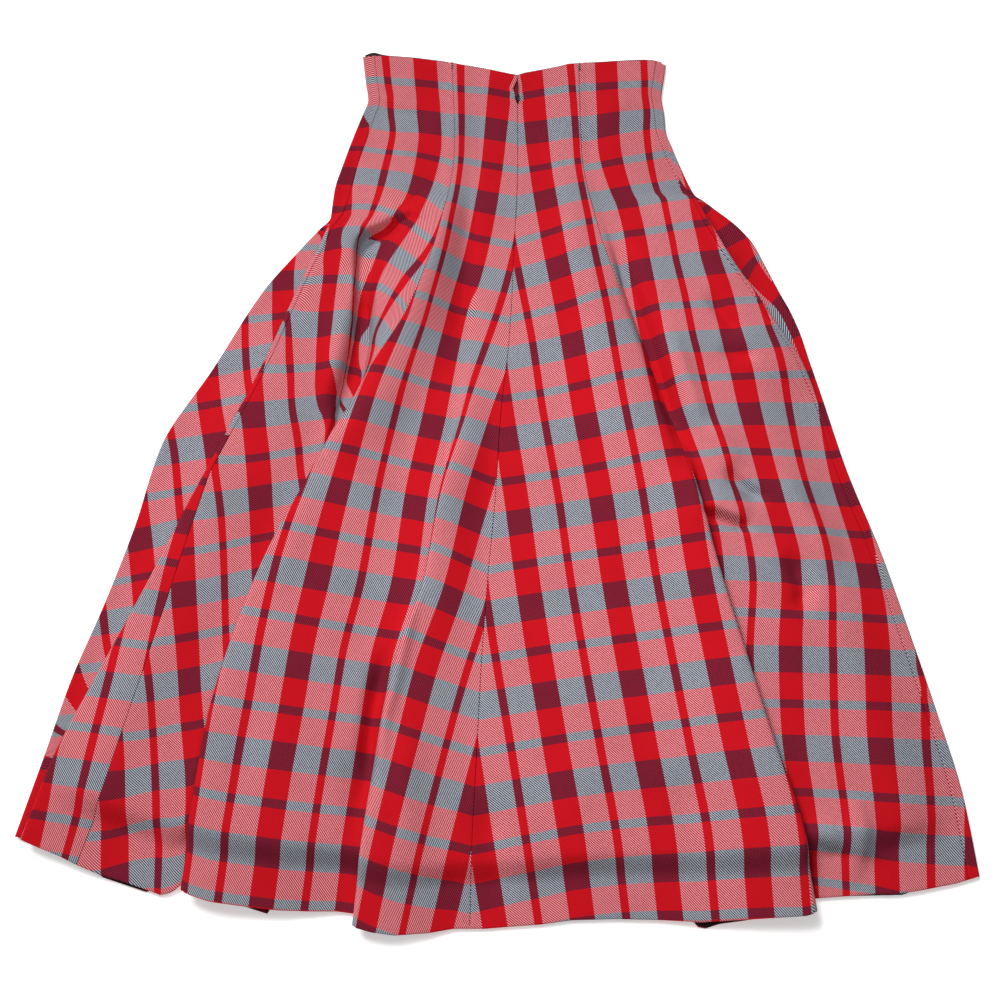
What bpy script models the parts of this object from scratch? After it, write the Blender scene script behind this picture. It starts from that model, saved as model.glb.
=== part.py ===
"""Gored flared midi skirt, laid out flat on its front with its back on top.

The cloth is one flattened tube.  Each cross-section runs from the centre-back seam out over the
pleats to the folded outline, under the skirt and back up the other side.  The pleats are Z-folds
built from a turning path: roll, shoulder, bend, depth, heel.  Metres, +Z up, resting on z = 0.
"""

import math

import bmesh
import bpy
import numpy as np

MM = 0.001
CLOTH = 1.2                 # wall of the checked cloth
FACING = 0.7                # wall of the dark facings
SEAM_GAP = 0.35             # clearance between two pieces along a seam
PRINCESS_GAP = 0.6          # the same where the seam turns under the pleat
UNDER_Z = 0.5 * CLOTH       # mid-height of the ply that rests on the floor
EDGE_Z = 4.6                # mid-height of the upper ply just inside the folded outline
BACK_Z = 4.6                # mid-height of the back where it lies flat
FALL = 75.0                 # run over which a pleat's top ply sinks back to BACK_Z
CENTRE = (-4.5, 50.1)       # middle of the laid-out skirt, which becomes the origin

# Rows from waist (0) to hem (1)
ROWS = (0.0, 0.03, 0.07, 0.12, 0.16, 0.20, 0.24, 0.28, 0.32, 0.36, 0.40, 0.44,
        0.48, 0.52, 0.57, 0.63, 0.69, 0.76, 0.83, 0.90, 0.96, 1.0)

# Edges that run from waist to hem: row, x, y
OUTLINE_LEFT = ((0, -158, 531), (.1, -165, 430), (.14, -177, 391), (.19, -187, 342), (.207, -188, 325),
                (.22, -199, 313), (.25, -223, 284), (.3, -259, 237), (.4, -309, 146), (.5, -359, 58),
                (.6, -380, -28), (.7, -405, -110), (.8, -433, -190), (.9, -454, -268), (1, -475, -343))
SIDE_FOLD = ((0, -148, 527), (.1, -153, 427), (.14, -165, 388), (.19, -176, 339), (.21, -184, 320),
             (.25, -199, 283), (.3, -219, 236), (.4, -253, 145), (.5, -292, 58), (.6, -331, -27),
             (.7, -367, -109), (.8, -405, -189), (.9, -441, -266), (1, -466, -343))
PRINCESS_FOLD = ((0, -55, 518), (.1, -51, 411), (.2, -65, 308), (.3, -96, 209), (.4, -153, 114),
                 (.5, -198, 22), (.6, -241, -68), (.7, -270, -154), (.8, -289, -237), (.9, -298, -317),
                 (1, -306, -395))
GORE_FOLD = ((0, -16, 512), (.1, -18, 402), (.2, -22, 296), (.3, -29, 194), (.4, -41, 95),
             (.5, -63, 0), (.6, -78, -91), (.7, -107, -180), (.8, -122, -265), (.9, -133, -348),
             (1, -141, -428))
CENTRE_BACK = ((0, 20, 506), (.1, 20, 397), (.2, 16, 291), (.3, 11, 189), (.4, 1, 91), (.5, -5, -4),
               (.6, -13, -95), (.7, -19, -183), (.8, -23, -268), (.9, -27, -351), (1, -29, -430))
RIGHT_FOLD = ((0, 91, 522), (.1, 92, 412), (.2, 110, 306), (.3, 143, 205), (.4, 176, 106),
              (.5, 203, 12), (.6, 224, -79), (.7, 247, -168), (.8, 269, -253), (.9, 292, -335),
              (1, 303, -415))
RIGHT_SIDE = ((0, 183, 517), (.1, 186, 413), (.13, 197, 382), (.16, 211, 351), (.18, 222, 331),
              (.2, 230, 311), (.24, 250, 272), (.3, 287, 214), (.36, 320, 158), (.4, 336, 121),
              (.5, 358, 30), (.6, 387, -58), (.7, 410, -143), (.8, 431, -225), (.9, 449, -304),
              (1, 458, -381))
OUTLINE_RIGHT = ((0, 191, 516), (.1, 195, 412), (.13, 205, 382), (.16, 219, 351), (.18, 245, 331),
                 (.2, 267, 311), (.24, 290, 272), (.3, 316, 214), (.36, 333, 158), (.4, 343, 120),
                 (.5, 366, 30), (.6, 395, -58), (.7, 418, -143), (.8, 439, -225), (.9, 457, -304),
                 (1, 466, -381))

# Share of the way from the side fold to the princess fold at which the left side seam lies
SIDE_SEAM_SHARE = ((0, .03), (.5, .03), (.6, .155), (.7, .28), (.8, .37), (.9, .40), (1, .36))

# Pleat profiles: row, roll radius, roll degrees, shoulder, bend degrees, depth, heel radius
PROFILE = ("row", "roll_r", "roll_deg", "shoulder", "bend_deg", "depth", "heel_r")
LEFT_SIDE_PLEAT = ((0, 6.0, 8, 1, 0, 1.5, 6.0), (.19, 6.0, 10, 1, 0, 1.5, 6.0),
                   (.212, 3.2, 100, .5, 0, 1, 2.6), (.24, 3.2, 170, 1, 0, 3, 2.4),
                   (.30, 3.2, 178, 1, 0, 6, 2.2), (.60, 3.2, 178, 2, 0, 14, 2.2),
                   (1, 3.2, 178, 2, 0, 18, 2.2))
PRINCESS_PLEAT = ((0, 14, 9, 3, 3, 3, 12), (.14, 14, 9, 6, 5, 6, 12), (.19, 12, 9, 28, 18, 14, 11),
                  (.25, 11, 9, 40, 32, 12, 10), (.31, 9, 9, 30, 44, 9, 9),
                  (.355, 6, 22, 12, 44, 7, 7), (.385, 5, 62, 4, 30, 5, 5.5),
                  (.43, 4.6, 134, 3, 12, 4, 4.0), (.48, 4.4, 174, 4, 3, 8, 2.6),
                  (.60, 4.4, 178, 6, 0, 34, 2.4), (1, 4.4, 178, 6, 0, 84, 2.4))
GORE_PLEAT = ((0, 30, 7, 2, 0, 2, 30), (.34, 30, 7, 2, 0, 2, 30), (.42, 7, 50, 2, 0, 2, 7),
              (.48, 4.2, 120, 2, 0, 2, 3.4), (.55, 4.0, 174, 2, 0, 5, 2.4),
              (.70, 4.0, 178, 2, 0, 11, 2.4), (1, 4.0, 178, 2, 0, 22, 2.4))
RIGHT_PLEAT = ((0, 30, 6, 3, 0, 2, 30), (.40, 24, 9, 3, 0, 2, 24), (.47, 9, 34, 3, 0, 3, 9),
               (.52, 4.6, 110, 3, 0, 4, 4.0), (.57, 4.4, 172, 4, 0, 8, 2.6),
               (.70, 4.4, 178, 6, 0, 30, 2.4), (1, 4.4, 178, 6, 0, 70, 2.4))
RIGHT_SIDE_PLEAT = ((0, 5, 8, .8, 0, .8, 5), (.16, 5, 10, .8, 0, .8, 5), (.18, 3.2, 130, .8, 0, 2, 2.6),
                    (.22, 3.2, 176, 1, 0, 4, 2.2), (.30, 3.2, 176, 1, 0, 4, 2.2),
                    (.36, 3.5, 110, .8, 0, 2, 3.0), (.42, 5, 14, .8, 0, .8, 5), (1, 5, 8, .8, 0, .8, 5))

# How far a pleat's lower ply steps up at the hem: x, y
HEM_STEP = {"side": (0, 0), "princess": (-5, 5), "gore": (-1, 12), "right": (3, 13), "right_side": (0, 0)}

# Soft rise in the middle of a panel: row, height, place across the panel (0 inner edge, 1 outer)
SIDE_RISE = ((0, 0, .5), (.2, 3, .5), (.45, 4, .5), (1, 2, .5))
LEFT_RISE = ((0, 0, .5), (.4, 1, .5), (1, 1.5, .4))
CENTRE_RISE = ((0, 0, .5), (1, 0.5, .5))
VALLEY_RISE = ((0, 0, .8), (.15, 2, .7), (.3, 7, .72), (.45, 7, .72), (.6, 2, .6), (1, 1, .5))
BULGE_RISE = ((0, 0, .3), (.15, 3, .3), (.3, 8, .3), (.48, 8, .3), (.58, 2, .3), (1, 1.5, .5))

# Waist edge and hem edge of the upper plies: x, y
WAIST_EDGE = ((-158, 530), (-134, 532), (-99, 529), (-71, 525), (-50, 521), (-14, 514), (11, 508),
              (20, 506), (28, 509), (52, 514), (69, 518), (79, 521), (110, 523), (141, 525),
              (175, 526), (183, 524), (189, 520), (191, 516))
HEM_LEFT_SIDE = ((-475, -343), (-449, -354), (-426, -363), (-410, -371), (-388, -380), (-363, -387),
                 (-342, -394), (-328, -399), (-317, -396), (-311, -390))
HEM_LEFT = ((-306, -395), (-294, -400), (-278, -405), (-248, -409), (-214, -413), (-183, -414),
            (-157, -414), (-142, -416))
HEM_CENTRE = ((-141, -428), (-123, -433), (-101, -436), (-69, -434), (-45, -430), (-15, -430),
              (11, -428), (40, -426), (70, -422), (114, -421), (156, -422), (193, -424), (243, -421),
              (292, -418), (303, -415))
HEM_RIGHT = ((306, -402), (362, -398), (383, -398), (405, -395), (443, -388), (466, -381))
# Hem edge of the front, which the facing follows and which shows below the back in two places
HEM_FRONT = ((-475, -343), (-449, -351), (-426, -360), (-392, -378), (-386, -382), (-345, -395),
             (-338, -393), (-311, -388), (-294, -397), (-248, -405), (-183, -410), (-142, -412),
             (-100, -428), (-60, -426), (0, -424), (70, -418), (156, -418), (186, -421), (192, -428),
             (199, -429), (212, -425), (236, -422), (254, -419), (296, -412), (306, -401),
             (340, -399), (392, -398), (405, -392), (443, -385), (466, -381))


def smooth(rows, at, column=1):
    """Value of a table's column at a row, on a curve that doesn't overshoot its rows."""
    x = np.array([row[0] for row in rows], float)
    y = np.array([row[column] for row in rows], float)
    slope = np.diff(y) / np.diff(x)
    tangent = np.zeros_like(y)
    tangent[0], tangent[-1] = slope[0], slope[-1]
    for i in range(1, len(y) - 1):
        if slope[i - 1] * slope[i] > 0:
            tangent[i] = 2 * slope[i - 1] * slope[i] / (slope[i - 1] + slope[i])
    i = int(np.clip(np.searchsorted(x, at, side="right") - 1, 0, len(x) - 2))
    h = x[i + 1] - x[i]
    t = (at - x[i]) / h
    return float((2 * t**3 - 3 * t**2 + 1) * y[i] + (t**3 - 2 * t**2 + t) * h * tangent[i]
                 + (3 * t**2 - 2 * t**3) * y[i + 1] + (t**3 - t**2) * h * tangent[i + 1])


def edge_point(rows, at):
    return np.array([smooth(rows, at, 1), smooth(rows, at, 2)])


def turning_path(profile, at):
    """Pleat profile seen end on: run outwards and drop of each column, and where the roll ends."""
    roll_r, roll_deg, shoulder, bend_deg, depth, heel_r = (
        smooth(profile, at, column) for column in range(1, len(PROFILE)))
    roll, bend = math.radians(roll_deg), math.radians(bend_deg)
    steps = [(roll_r * roll, roll, 4), (shoulder, 0.0, 1), (0.15 * shoulder + 6 * bend, bend, 2),
             (depth, 0.0, 1), (heel_r * (roll + bend), -(roll + bend), 4)]
    if max(row[4] for row in profile) == 0:
        steps.pop(2)
    run, drop, heading = [0.0], [0.0], 0.0
    for length, turn, count in steps:
        for _ in range(count):
            part, middle = length / count, heading + 0.5 * turn / count
            chord = part * (math.sin(0.5 * turn / count) / (0.5 * turn / count) if turn else 1.0)
            run.append(run[-1] + chord * math.cos(middle))
            drop.append(drop[-1] + chord * math.sin(middle))
            heading += turn / count
    start = roll_r * math.sin(min(roll, 0.5 * math.pi))
    return np.array(run) - start, np.array(drop), start


class Panel:
    """Stretch of cloth between two edges, in a stated number of columns."""

    def __init__(self, inner, outer, rise, hem, columns, step=(0, 0), strip=None):
        self.inner, self.outer, self.rise, self.hem = inner, outer, rise, hem
        self.columns, self.step, self.strip = columns, step, strip

    def ends(self, at):
        sink = max(0.0, (at - 0.6) / 0.4) ** 2
        return edge_point(self.inner, at) + np.array(self.step) * sink, edge_point(self.outer, at)

    def point(self, share, at):
        """Place in plan, with the waist and hem edges bowed as the cut is."""
        inner, outer = self.ends(at)
        place = inner + (outer - inner) * share
        clamped = min(max(share, 0.0), 1.0)
        for weight, edge, row in (((1 - at) ** 8, WAIST_EDGE, 0.0), (at ** 8, self.hem, 1.0)):
            a, b = self.ends(row)
            end = a + (b - a) * clamped
            xs, ys = zip(*edge)
            place[1] += weight * (np.interp(end[0], xs, ys) - end[1])
        return place

    def height(self, share, at):
        peak = smooth(self.rise, at, 2)
        warped = min(max(share, 0.0), 1.0) ** (math.log(0.5) / math.log(peak))
        return BACK_Z + smooth(self.rise, at, 1) * math.sin(math.pi * warped) ** 2


def half_section(at, panels, pleats):
    """Points from the centre-back seam to the folded outline, and the index of each mark."""
    widths = [np.linalg.norm(np.subtract(*panel.ends(at))) for panel in panels]
    paths = [turning_path(profile, at) for profile, _ in pleats]
    starts = [0.0] + [path[0][-1] / width for path, width in zip(paths, widths[1:])]
    ends = [1 - path[2] / width for path, width in zip(paths, widths)]
    lifts, falls = [0.0] * len(panels), [1.0] * len(panels)
    ends.append(1 - (0.5 * (EDGE_Z - UNDER_Z)) / widths[-1])

    def height(k, share):
        run = (ends[k] - share) * widths[k]
        sunk = min(max(run / falls[k], 0.0), 1.0)
        own = panels[k].height(share, at) if k < len(panels) - 1 else EDGE_Z
        return own + lifts[k] * (1 - sunk * sunk * (3 - 2 * sunk))

    for k in range(len(pleats) - 1, -1, -1):
        run, drop, _ = paths[k]
        hidden = max(0.0, -run[-1])
        top = height(k + 1, starts[k + 1]) + drop[-1]
        lifts[k] = top - panels[k].height(ends[k], at)
        free = (ends[k] - starts[k]) * widths[k] - hidden
        falls[k] = hidden + max(6.0, min(FALL, free - 4.0))
    points, marks = [], {}
    for k, panel in enumerate(panels):
        shares = list(np.linspace(starts[k], ends[k], panel.columns + 1))
        if panel.strip is not None:
            seam = min(1 - smooth(SIDE_SEAM_SHARE, at) if panel.strip == "table" else 1.0,
                       ends[k] - 2.5 / widths[k])
            shares = (list(np.linspace(starts[k], seam, panel.columns - 1))
                      + list(np.linspace(seam, ends[k], 3)[1:]))
        inner, outer = panel.ends(at)
        for i, share in enumerate(shares[(1 if k else 0):]):
            x, y = panel.point(share, at)
            points.append((x, y, height(k, share)))
            if panel.strip is not None and i + (1 if k else 0) == panel.columns - 2:
                marks["seam"] = len(points) - 1
        if k < len(pleats):
            run, drop, _ = paths[k]
            across = (outer - inner) / widths[k]
            base, step = panel.point(1.0, at), panels[k + 1].ends(at)[0] - outer
            marks[pleats[k][1]] = len(points) - 1
            top = points[-1][2]
            for i in range(1, len(run)):
                place = base + across * run[i] + step * i / (len(run) - 1)
                points.append((place[0], place[1], top - drop[i]))
    return points, marks, (panels[-1].ends(at)[1] - panels[-1].ends(at)[0]) / widths[-1]


LEFT_PANELS = (
    Panel(CENTRE_BACK, GORE_FOLD, CENTRE_RISE, HEM_CENTRE, 4),
    Panel(GORE_FOLD, PRINCESS_FOLD, LEFT_RISE, HEM_LEFT, 6, HEM_STEP["gore"]),
    Panel(PRINCESS_FOLD, SIDE_FOLD, SIDE_RISE, HEM_LEFT_SIDE, 7, HEM_STEP["princess"], "table"),
    Panel(SIDE_FOLD, OUTLINE_LEFT, CENTRE_RISE, HEM_LEFT_SIDE, 2))
LEFT_PLEATS = ((GORE_PLEAT, "gore"), (PRINCESS_PLEAT, "princess"), (LEFT_SIDE_PLEAT, "side"))
RIGHT_PANELS = (
    Panel(CENTRE_BACK, RIGHT_FOLD, VALLEY_RISE, HEM_CENTRE, 8),
    Panel(RIGHT_FOLD, RIGHT_SIDE, BULGE_RISE, HEM_RIGHT, 8, HEM_STEP["right"], "edge"),
    Panel(RIGHT_SIDE, OUTLINE_RIGHT, CENTRE_RISE, HEM_RIGHT, 2))
RIGHT_PLEATS = ((RIGHT_PLEAT, "princess"), (RIGHT_SIDE_PLEAT, "side"))
ROLL_COLUMNS = 4            # columns of a pleat's roll, which ends at the princess seam
TURN_COLUMNS = 4
UNDER_COLUMNS = 8


def under_edge(at, left, right, share):
    """Place on the resting ply between the two folded outlines."""
    place = right + (left - right) * share
    near_waist = at < 0.5
    row, weight = (0.0, (1 - at) ** 8) if near_waist else (1.0, at ** 8)
    a, b = edge_point(OUTLINE_LEFT, row), edge_point(OUTLINE_RIGHT, row)
    rim = b + (a - b) * share
    xs, ys = zip(*(WAIST_EDGE if near_waist else HEM_FRONT))
    edge = np.interp(rim[0], xs, ys)
    if near_waist:
        edge += 7.0 * math.exp(-(((rim[0] + 147) / 9) ** 2)) - 2.5
    place[1] += weight * (edge - rim[1])
    return place


def section(at):
    """One closed ring of the flattened tube, and the index of each seam in it."""
    left, left_marks, left_out = half_section(at, LEFT_PANELS, LEFT_PLEATS)
    right, right_marks, right_out = half_section(at, RIGHT_PANELS, RIGHT_PLEATS)
    radius = 0.5 * (EDGE_Z - UNDER_Z)

    def turn(points, outwards):
        x, y, _ = points[-1]
        middle = 0.5 * (EDGE_Z + UNDER_Z)
        return [(x + outwards[0] * radius * math.sin(a), y + outwards[1] * radius * math.sin(a),
                 middle + radius * math.cos(a))
                for a in (math.pi * i / TURN_COLUMNS for i in range(1, TURN_COLUMNS + 1))]

    left_turn, right_turn = turn(left, left_out), turn(right, right_out)
    a, b = np.array(left_turn[-1][:2]), np.array(right_turn[-1][:2])
    under = []
    for i in range(1, UNDER_COLUMNS):
        x, y = under_edge(at, a, b, 1 - i / UNDER_COLUMNS)
        under.append((x, y, UNDER_Z))
    ring = left + left_turn + under + right_turn[::-1] + right[::-1]
    last = len(ring) - 1
    seams = {"centre": 0, "left_princess": left_marks["princess"] + ROLL_COLUMNS,
             "left_side": left_marks["seam"], "right_side": last - right_marks["seam"],
             "right_princess": last - (right_marks["princess"] + ROLL_COLUMNS), "end": last}
    return [np.array(point, float) for point in ring], seams


def to_metres(point):
    return ((point[0] - CENTRE[0]) * MM, (point[1] - CENTRE[1]) * MM, point[2] * MM)


def cloth_material(name, colour, roughness=0.9):
    material = bpy.data.materials.new(name)
    material.use_nodes = True
    shader = material.node_tree.nodes["Principled BSDF"]
    shader.inputs["Base Color"].default_value = (*colour, 1.0)
    shader.inputs["Roughness"].default_value = roughness
    shader.inputs["Metallic"].default_value = 0.0
    return material


def lofted(name, rows, wall, material, collection):
    """Open sheet through the rows of points, made a closed wall by Solidify."""
    mesh = bpy.data.meshes.new(name)
    form = bmesh.new()
    grid = [[form.verts.new(to_metres(point)) for point in row] for row in rows]
    for upper, lower in zip(grid, grid[1:]):
        for i in range(len(upper) - 1):
            form.faces.new((upper[i], upper[i + 1], lower[i + 1], lower[i]))
    form.to_mesh(mesh)
    form.free()
    mesh.shade_smooth()
    obj = bpy.data.objects.new(name, mesh)
    obj.data.materials.append(material)
    collection.objects.link(obj)
    shell = obj.modifiers.new("wall", "SOLIDIFY")
    shell.thickness = wall * MM
    shell.offset = 0.0
    shell.use_even_offset = True
    shell.use_rim = True
    return obj


def piece_rows(rings, first, last):
    """Points of one cut piece, drawn back from the seams at its two ends by half a gap."""
    rows = []
    for ring, seams in rings:
        row = ring[seams[first]:seams[last] + 1]
        for end, towards, seam in ((0, 1, first), (-1, -2, last)):
            step = row[towards] - row[end]
            gap = PRINCESS_GAP if seam.endswith("princess") else SEAM_GAP
            row[end] = row[end] + step / np.linalg.norm(step) * 0.5 * gap
        rows.append(row)
    return rows


def make_cloth(collection):
    rings = [section(at) for at in ROWS]
    looks = {
        "back_centre_left": ("centre", "left_princess"),
        "back_side_left": ("left_princess", "left_side"),
        "front": ("left_side", "right_side"),
        "back_side_right": ("right_side", "right_princess"),
        "back_centre_right": ("right_princess", "end"),
    }
    made = {}
    for name, (first, last) in looks.items():
        material = cloth_material(name + "_cloth", (0.45, 0.14, 0.16))
        made[name] = lofted(name, piece_rows(rings, first, last), CLOTH, material, collection)
    return made


# Facings lie between the resting ply and the back
FACING_Z = 1.95
WAIST_FACING_DEEP = 42.0
HEM_FACING_DEEP = 26.0


def make_waist_facing(collection):
    xs, ys = zip(*WAIST_EDGE)
    stations = (-153, -146, -138, -128, -110, -80, -50, -20, 15, 45, 75, 105, 135, 160, 178, 184)
    rows = []
    for depth in (0.0, 14.0, 28.0, WAIST_FACING_DEEP):
        row = []
        for x in stations:
            edge = np.interp(x, xs, ys) - 2.5 + 7.0 * math.exp(-(((x + 147) / 9) ** 2))
            row.append(np.array((x, edge - 0.3 - depth, FACING_Z)))
        rows.append(row)
    return lofted("waist_facing", rows, FACING, cloth_material("facing_dark", (0.02, 0.02, 0.03)), collection)


def make_hem_facing(collection):
    xs, ys = zip(*HEM_FRONT)
    stations = (-462, -449, -426, -392, -386, -345, -338, -311, -294, -248, -183, -142, -100, -60, 0,
                70, 156, 186, 192, 199, 212, 236, 254, 296, 306, 340, 392, 405, 443, 456)
    rows = []
    for depth in (0.0, HEM_FACING_DEEP):
        rows.append([np.array((x, np.interp(x, xs, ys) + 0.3 + depth, FACING_Z)) for x in stations][::-1])
    return lofted("hem_facing", rows, FACING, cloth_material("hem_facing_dark", (0.02, 0.02, 0.03)), collection)


# Concealed zip at the top of the centre-back seam
ZIP_X, ZIP_TOP, ZIP_BOTTOM = 20.2, 500.0, 470.5
TAPE = (16.0, 44.0, 0.5)        # width, length, height
SLIDER = (3.0, 6.6, 1.5)
EAR = (0.5, 1.4, 1.9)
PIVOT = (ZIP_X, 479.0, 6.0)     # the pull tab's axis, along X
PIN_R, HOLE_R, BARREL_R = 0.30, 0.44, 0.80
BARREL_W = 1.8
NECK = (1.8, 1.7, 0.7)
TAB = (3.4, 4.6, 0.7)


def add_box(name, centre, size, material, collection, bevel=0.25):
    bpy.ops.mesh.primitive_cube_add(size=1.0, location=to_metres(centre))
    obj = bpy.context.object
    obj.name = name
    obj.data.name = name
    obj.scale = tuple(side * MM for side in size)
    bpy.ops.object.transform_apply(location=False, rotation=False, scale=True)
    obj.data.materials.append(material)
    for owner in list(obj.users_collection):
        owner.objects.unlink(obj)
    collection.objects.link(obj)
    if bevel:
        edge = obj.modifiers.new("soft_edges", "BEVEL")
        edge.width = bevel * MM
        edge.segments = 2
        edge.limit_method = "ANGLE"
    return obj


def cut(obj, cutter):
    opening = obj.modifiers.new("opening", "BOOLEAN")
    opening.operation = "DIFFERENCE"
    opening.object = cutter
    opening.solver = "EXACT"


def add_lens(name, outline, low, high, collection):
    """Upright prism on a closed outline, from height low to high."""
    mesh = bpy.data.meshes.new(name)
    form = bmesh.new()
    base = [form.verts.new(to_metres((x, y, low))) for x, y in outline]
    face = form.faces.new(base)
    grown = bmesh.ops.extrude_face_region(form, geom=[face])
    for vert in (item for item in grown["geom"] if isinstance(item, bmesh.types.BMVert)):
        vert.co.z += (high - low) * MM
    bmesh.ops.recalc_face_normals(form, faces=form.faces)
    form.to_mesh(mesh)
    form.free()
    obj = bpy.data.objects.new(name, mesh)
    obj.hide_render = True
    obj.display_type = "WIRE"
    collection.objects.link(obj)
    return obj


def add_rod(name, centre, radius, length, material, collection, hidden=False):
    """Round bar along X."""
    bpy.ops.mesh.primitive_cylinder_add(vertices=16, radius=radius * MM, depth=length * MM,
                                        location=to_metres(centre), rotation=(0, 0.5 * math.pi, 0))
    obj = bpy.context.object
    obj.name = name
    obj.data.name = name
    bpy.ops.object.transform_apply(location=False, rotation=True, scale=False)
    obj.data.materials.append(material)
    for owner in list(obj.users_collection):
        owner.objects.unlink(obj)
    collection.objects.link(obj)
    if hidden:
        obj.hide_render = True
        obj.display_type = "WIRE"
    return obj


def join(obj, other):
    grown = obj.modifiers.new("join", "BOOLEAN")
    grown.operation = "UNION"
    grown.object = other
    grown.solver = "EXACT"
    other.hide_render = True
    other.display_type = "WIRE"


def make_zip(made, collection, cutters):
    dark = cloth_material("zip_dark", (0.02, 0.025, 0.05), 0.5)
    tape = cloth_material("zip_tape_red", (0.12, 0.015, 0.025))
    outline = ((20.2, 500.5), (15.2, 488), (16.9, 481), (17.2, 472), (22.0, 468.5), (23.4, 473),
               (23.2, 482), (22.2, 490))
    slit = add_lens("zip_slit_cutter", outline, 3.2, 9.0, cutters)
    cut(made["back_centre_left"], slit)
    cut(made["back_centre_right"], slit)
    add_box("zip_tape", (ZIP_X, 0.5 * (ZIP_TOP + ZIP_BOTTOM) - 6, 2.85), TAPE, tape, collection, 0)
    x, y, z = PIVOT
    slider = add_box("zip_slider", (x, y + 0.7 - 0.5 * SLIDER[1], 4.25), SLIDER, dark, collection, 0)
    reach = 0.5 * (BARREL_W + 0.3 + EAR[0])
    for side, word in ((-1, "left"), (1, "right")):
        ear = add_box("ear_" + word, (x + side * reach, y, 4.8 + 0.5 * EAR[2]), EAR, dark, cutters, 0)
        join(slider, ear)
    join(slider, add_rod("hinge_pin", PIVOT, PIN_R, 2 * reach, dark, cutters, True))
    pull = add_box("zip_pull", (x, y - NECK[1] + 0.1 - 0.5 * TAB[1], z), TAB, dark, collection, 0)
    neck = add_box("pull_neck", (x, y - 0.5 * NECK[1], z), NECK, dark, cutters, 0)
    join(pull, neck)
    join(pull, add_rod("pull_barrel", PIVOT, BARREL_R, BARREL_W, dark, cutters, True))
    cut(pull, add_rod("pull_bore_cutter", PIVOT, HOLE_R, BARREL_W + 2, dark, cutters, True))
    return slider, pull


def clear_scene():
    for obj in list(bpy.data.objects):
        bpy.data.objects.remove(obj, do_unlink=True)


def main():
    clear_scene()
    skirt = bpy.data.collections.new("flared_skirt")
    cutters = bpy.data.collections.new("cutters")
    cutters.hide_render = True
    bpy.context.scene.collection.children.link(skirt)
    bpy.context.scene.collection.children.link(cutters)
    made = make_cloth(skirt)
    make_waist_facing(skirt)
    make_hem_facing(skirt)
    make_zip(made, skirt, cutters)


main()
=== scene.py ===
"""Gored tartan skirt laid out flat on its front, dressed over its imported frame.

The cloth is worked out in millimetres of the laid-out plan: rows run from waist (0) to hem (1), and
each row is one closed ring from the centre-back seam round the flattened skirt and back.
"""

import logging
import math
from dataclasses import dataclass, field
from enum import Enum
from typing import Callable, Optional, Sequence, Union
import bmesh
import bpy
import numpy as np
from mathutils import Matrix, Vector


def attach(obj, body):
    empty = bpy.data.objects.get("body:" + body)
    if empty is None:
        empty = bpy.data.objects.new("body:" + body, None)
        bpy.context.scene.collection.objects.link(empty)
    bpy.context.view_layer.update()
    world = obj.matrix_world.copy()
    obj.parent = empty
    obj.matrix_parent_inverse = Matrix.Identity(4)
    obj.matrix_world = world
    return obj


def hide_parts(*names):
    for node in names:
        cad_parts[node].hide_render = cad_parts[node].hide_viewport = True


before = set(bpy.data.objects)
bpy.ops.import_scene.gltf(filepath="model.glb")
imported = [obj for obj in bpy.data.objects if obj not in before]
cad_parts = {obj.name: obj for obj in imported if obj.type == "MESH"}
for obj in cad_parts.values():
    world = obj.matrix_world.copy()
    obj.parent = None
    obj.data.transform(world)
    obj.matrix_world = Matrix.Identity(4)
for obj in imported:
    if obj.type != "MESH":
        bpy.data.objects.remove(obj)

LOG = logging.getLogger("skirt")

MM = 0.001
CENTRE = np.array((-4.5, 50.1))     # middle of the laid-out skirt, which is the origin
WALL = 0.8                          # thickness of the checked cloth
UNDER_Z = 0.5                       # mid-height of the ply that rests on the floor
EDGE_Z = 4.6                        # mid-height of the upper ply just inside the folded outline
BACK_Z = 4.6                        # mid-height of the back where it lies flat
FALL = 75.0                         # run over which a pleat's top ply sinks back
FLOOR_Z = 3.0                       # lowest mid-height of the upper plies, above the facings
WARP_REPEAT = 84.0                  # from one wide red stripe to the next
WEFT_REPEAT = 88.5                  # from one wide navy band to the next
FRONT_DROP = 0.4                    # how far the front's waist edge lies below the back's
ROWS = (32, 280)                    # rows of cloth near the zip and on to the hem
TOP_ROWS = 0.045                    # where the closer rows end

Rows = tuple[tuple[float, ...], ...]
Size = Union[float, np.ndarray]


def read_table(rows: Rows, at: float, column: int = 1) -> float:
    """Reads a table's column on a curve that doesn't overshoot its rows.

    Args:
        rows: the table, each row starting with its place from waist to hem.
        at: place from waist (0) to hem (1).
        column: which column to read.

    Returns:
        The column's value at that place.
    """
    x = np.array([row[0] for row in rows], float)
    y = np.array([row[column] for row in rows], float)
    slope = np.diff(y) / np.diff(x)
    tangent = np.zeros_like(y)
    tangent[0], tangent[-1] = slope[0], slope[-1]
    for i in range(1, len(y) - 1):
        if slope[i - 1] * slope[i] > 0:
            tangent[i] = 2 * slope[i - 1] * slope[i] / (slope[i - 1] + slope[i])
    i = int(np.clip(np.searchsorted(x, at, side="right") - 1, 0, len(x) - 2))
    h = x[i + 1] - x[i]
    t = (at - x[i]) / h
    return float((2 * t**3 - 3 * t**2 + 1) * y[i] + (t**3 - 2 * t**2 + t) * h * tangent[i]
                 + (3 * t**2 - 2 * t**3) * y[i + 1] + (t**3 - t**2) * h * tangent[i + 1])


def to_metres(points: np.ndarray) -> np.ndarray:
    """Turns points of the laid-out plan in millimetres into the frame's metres."""
    moved = np.array(points, float)
    moved[..., :2] -= CENTRE
    return moved * MM


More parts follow.
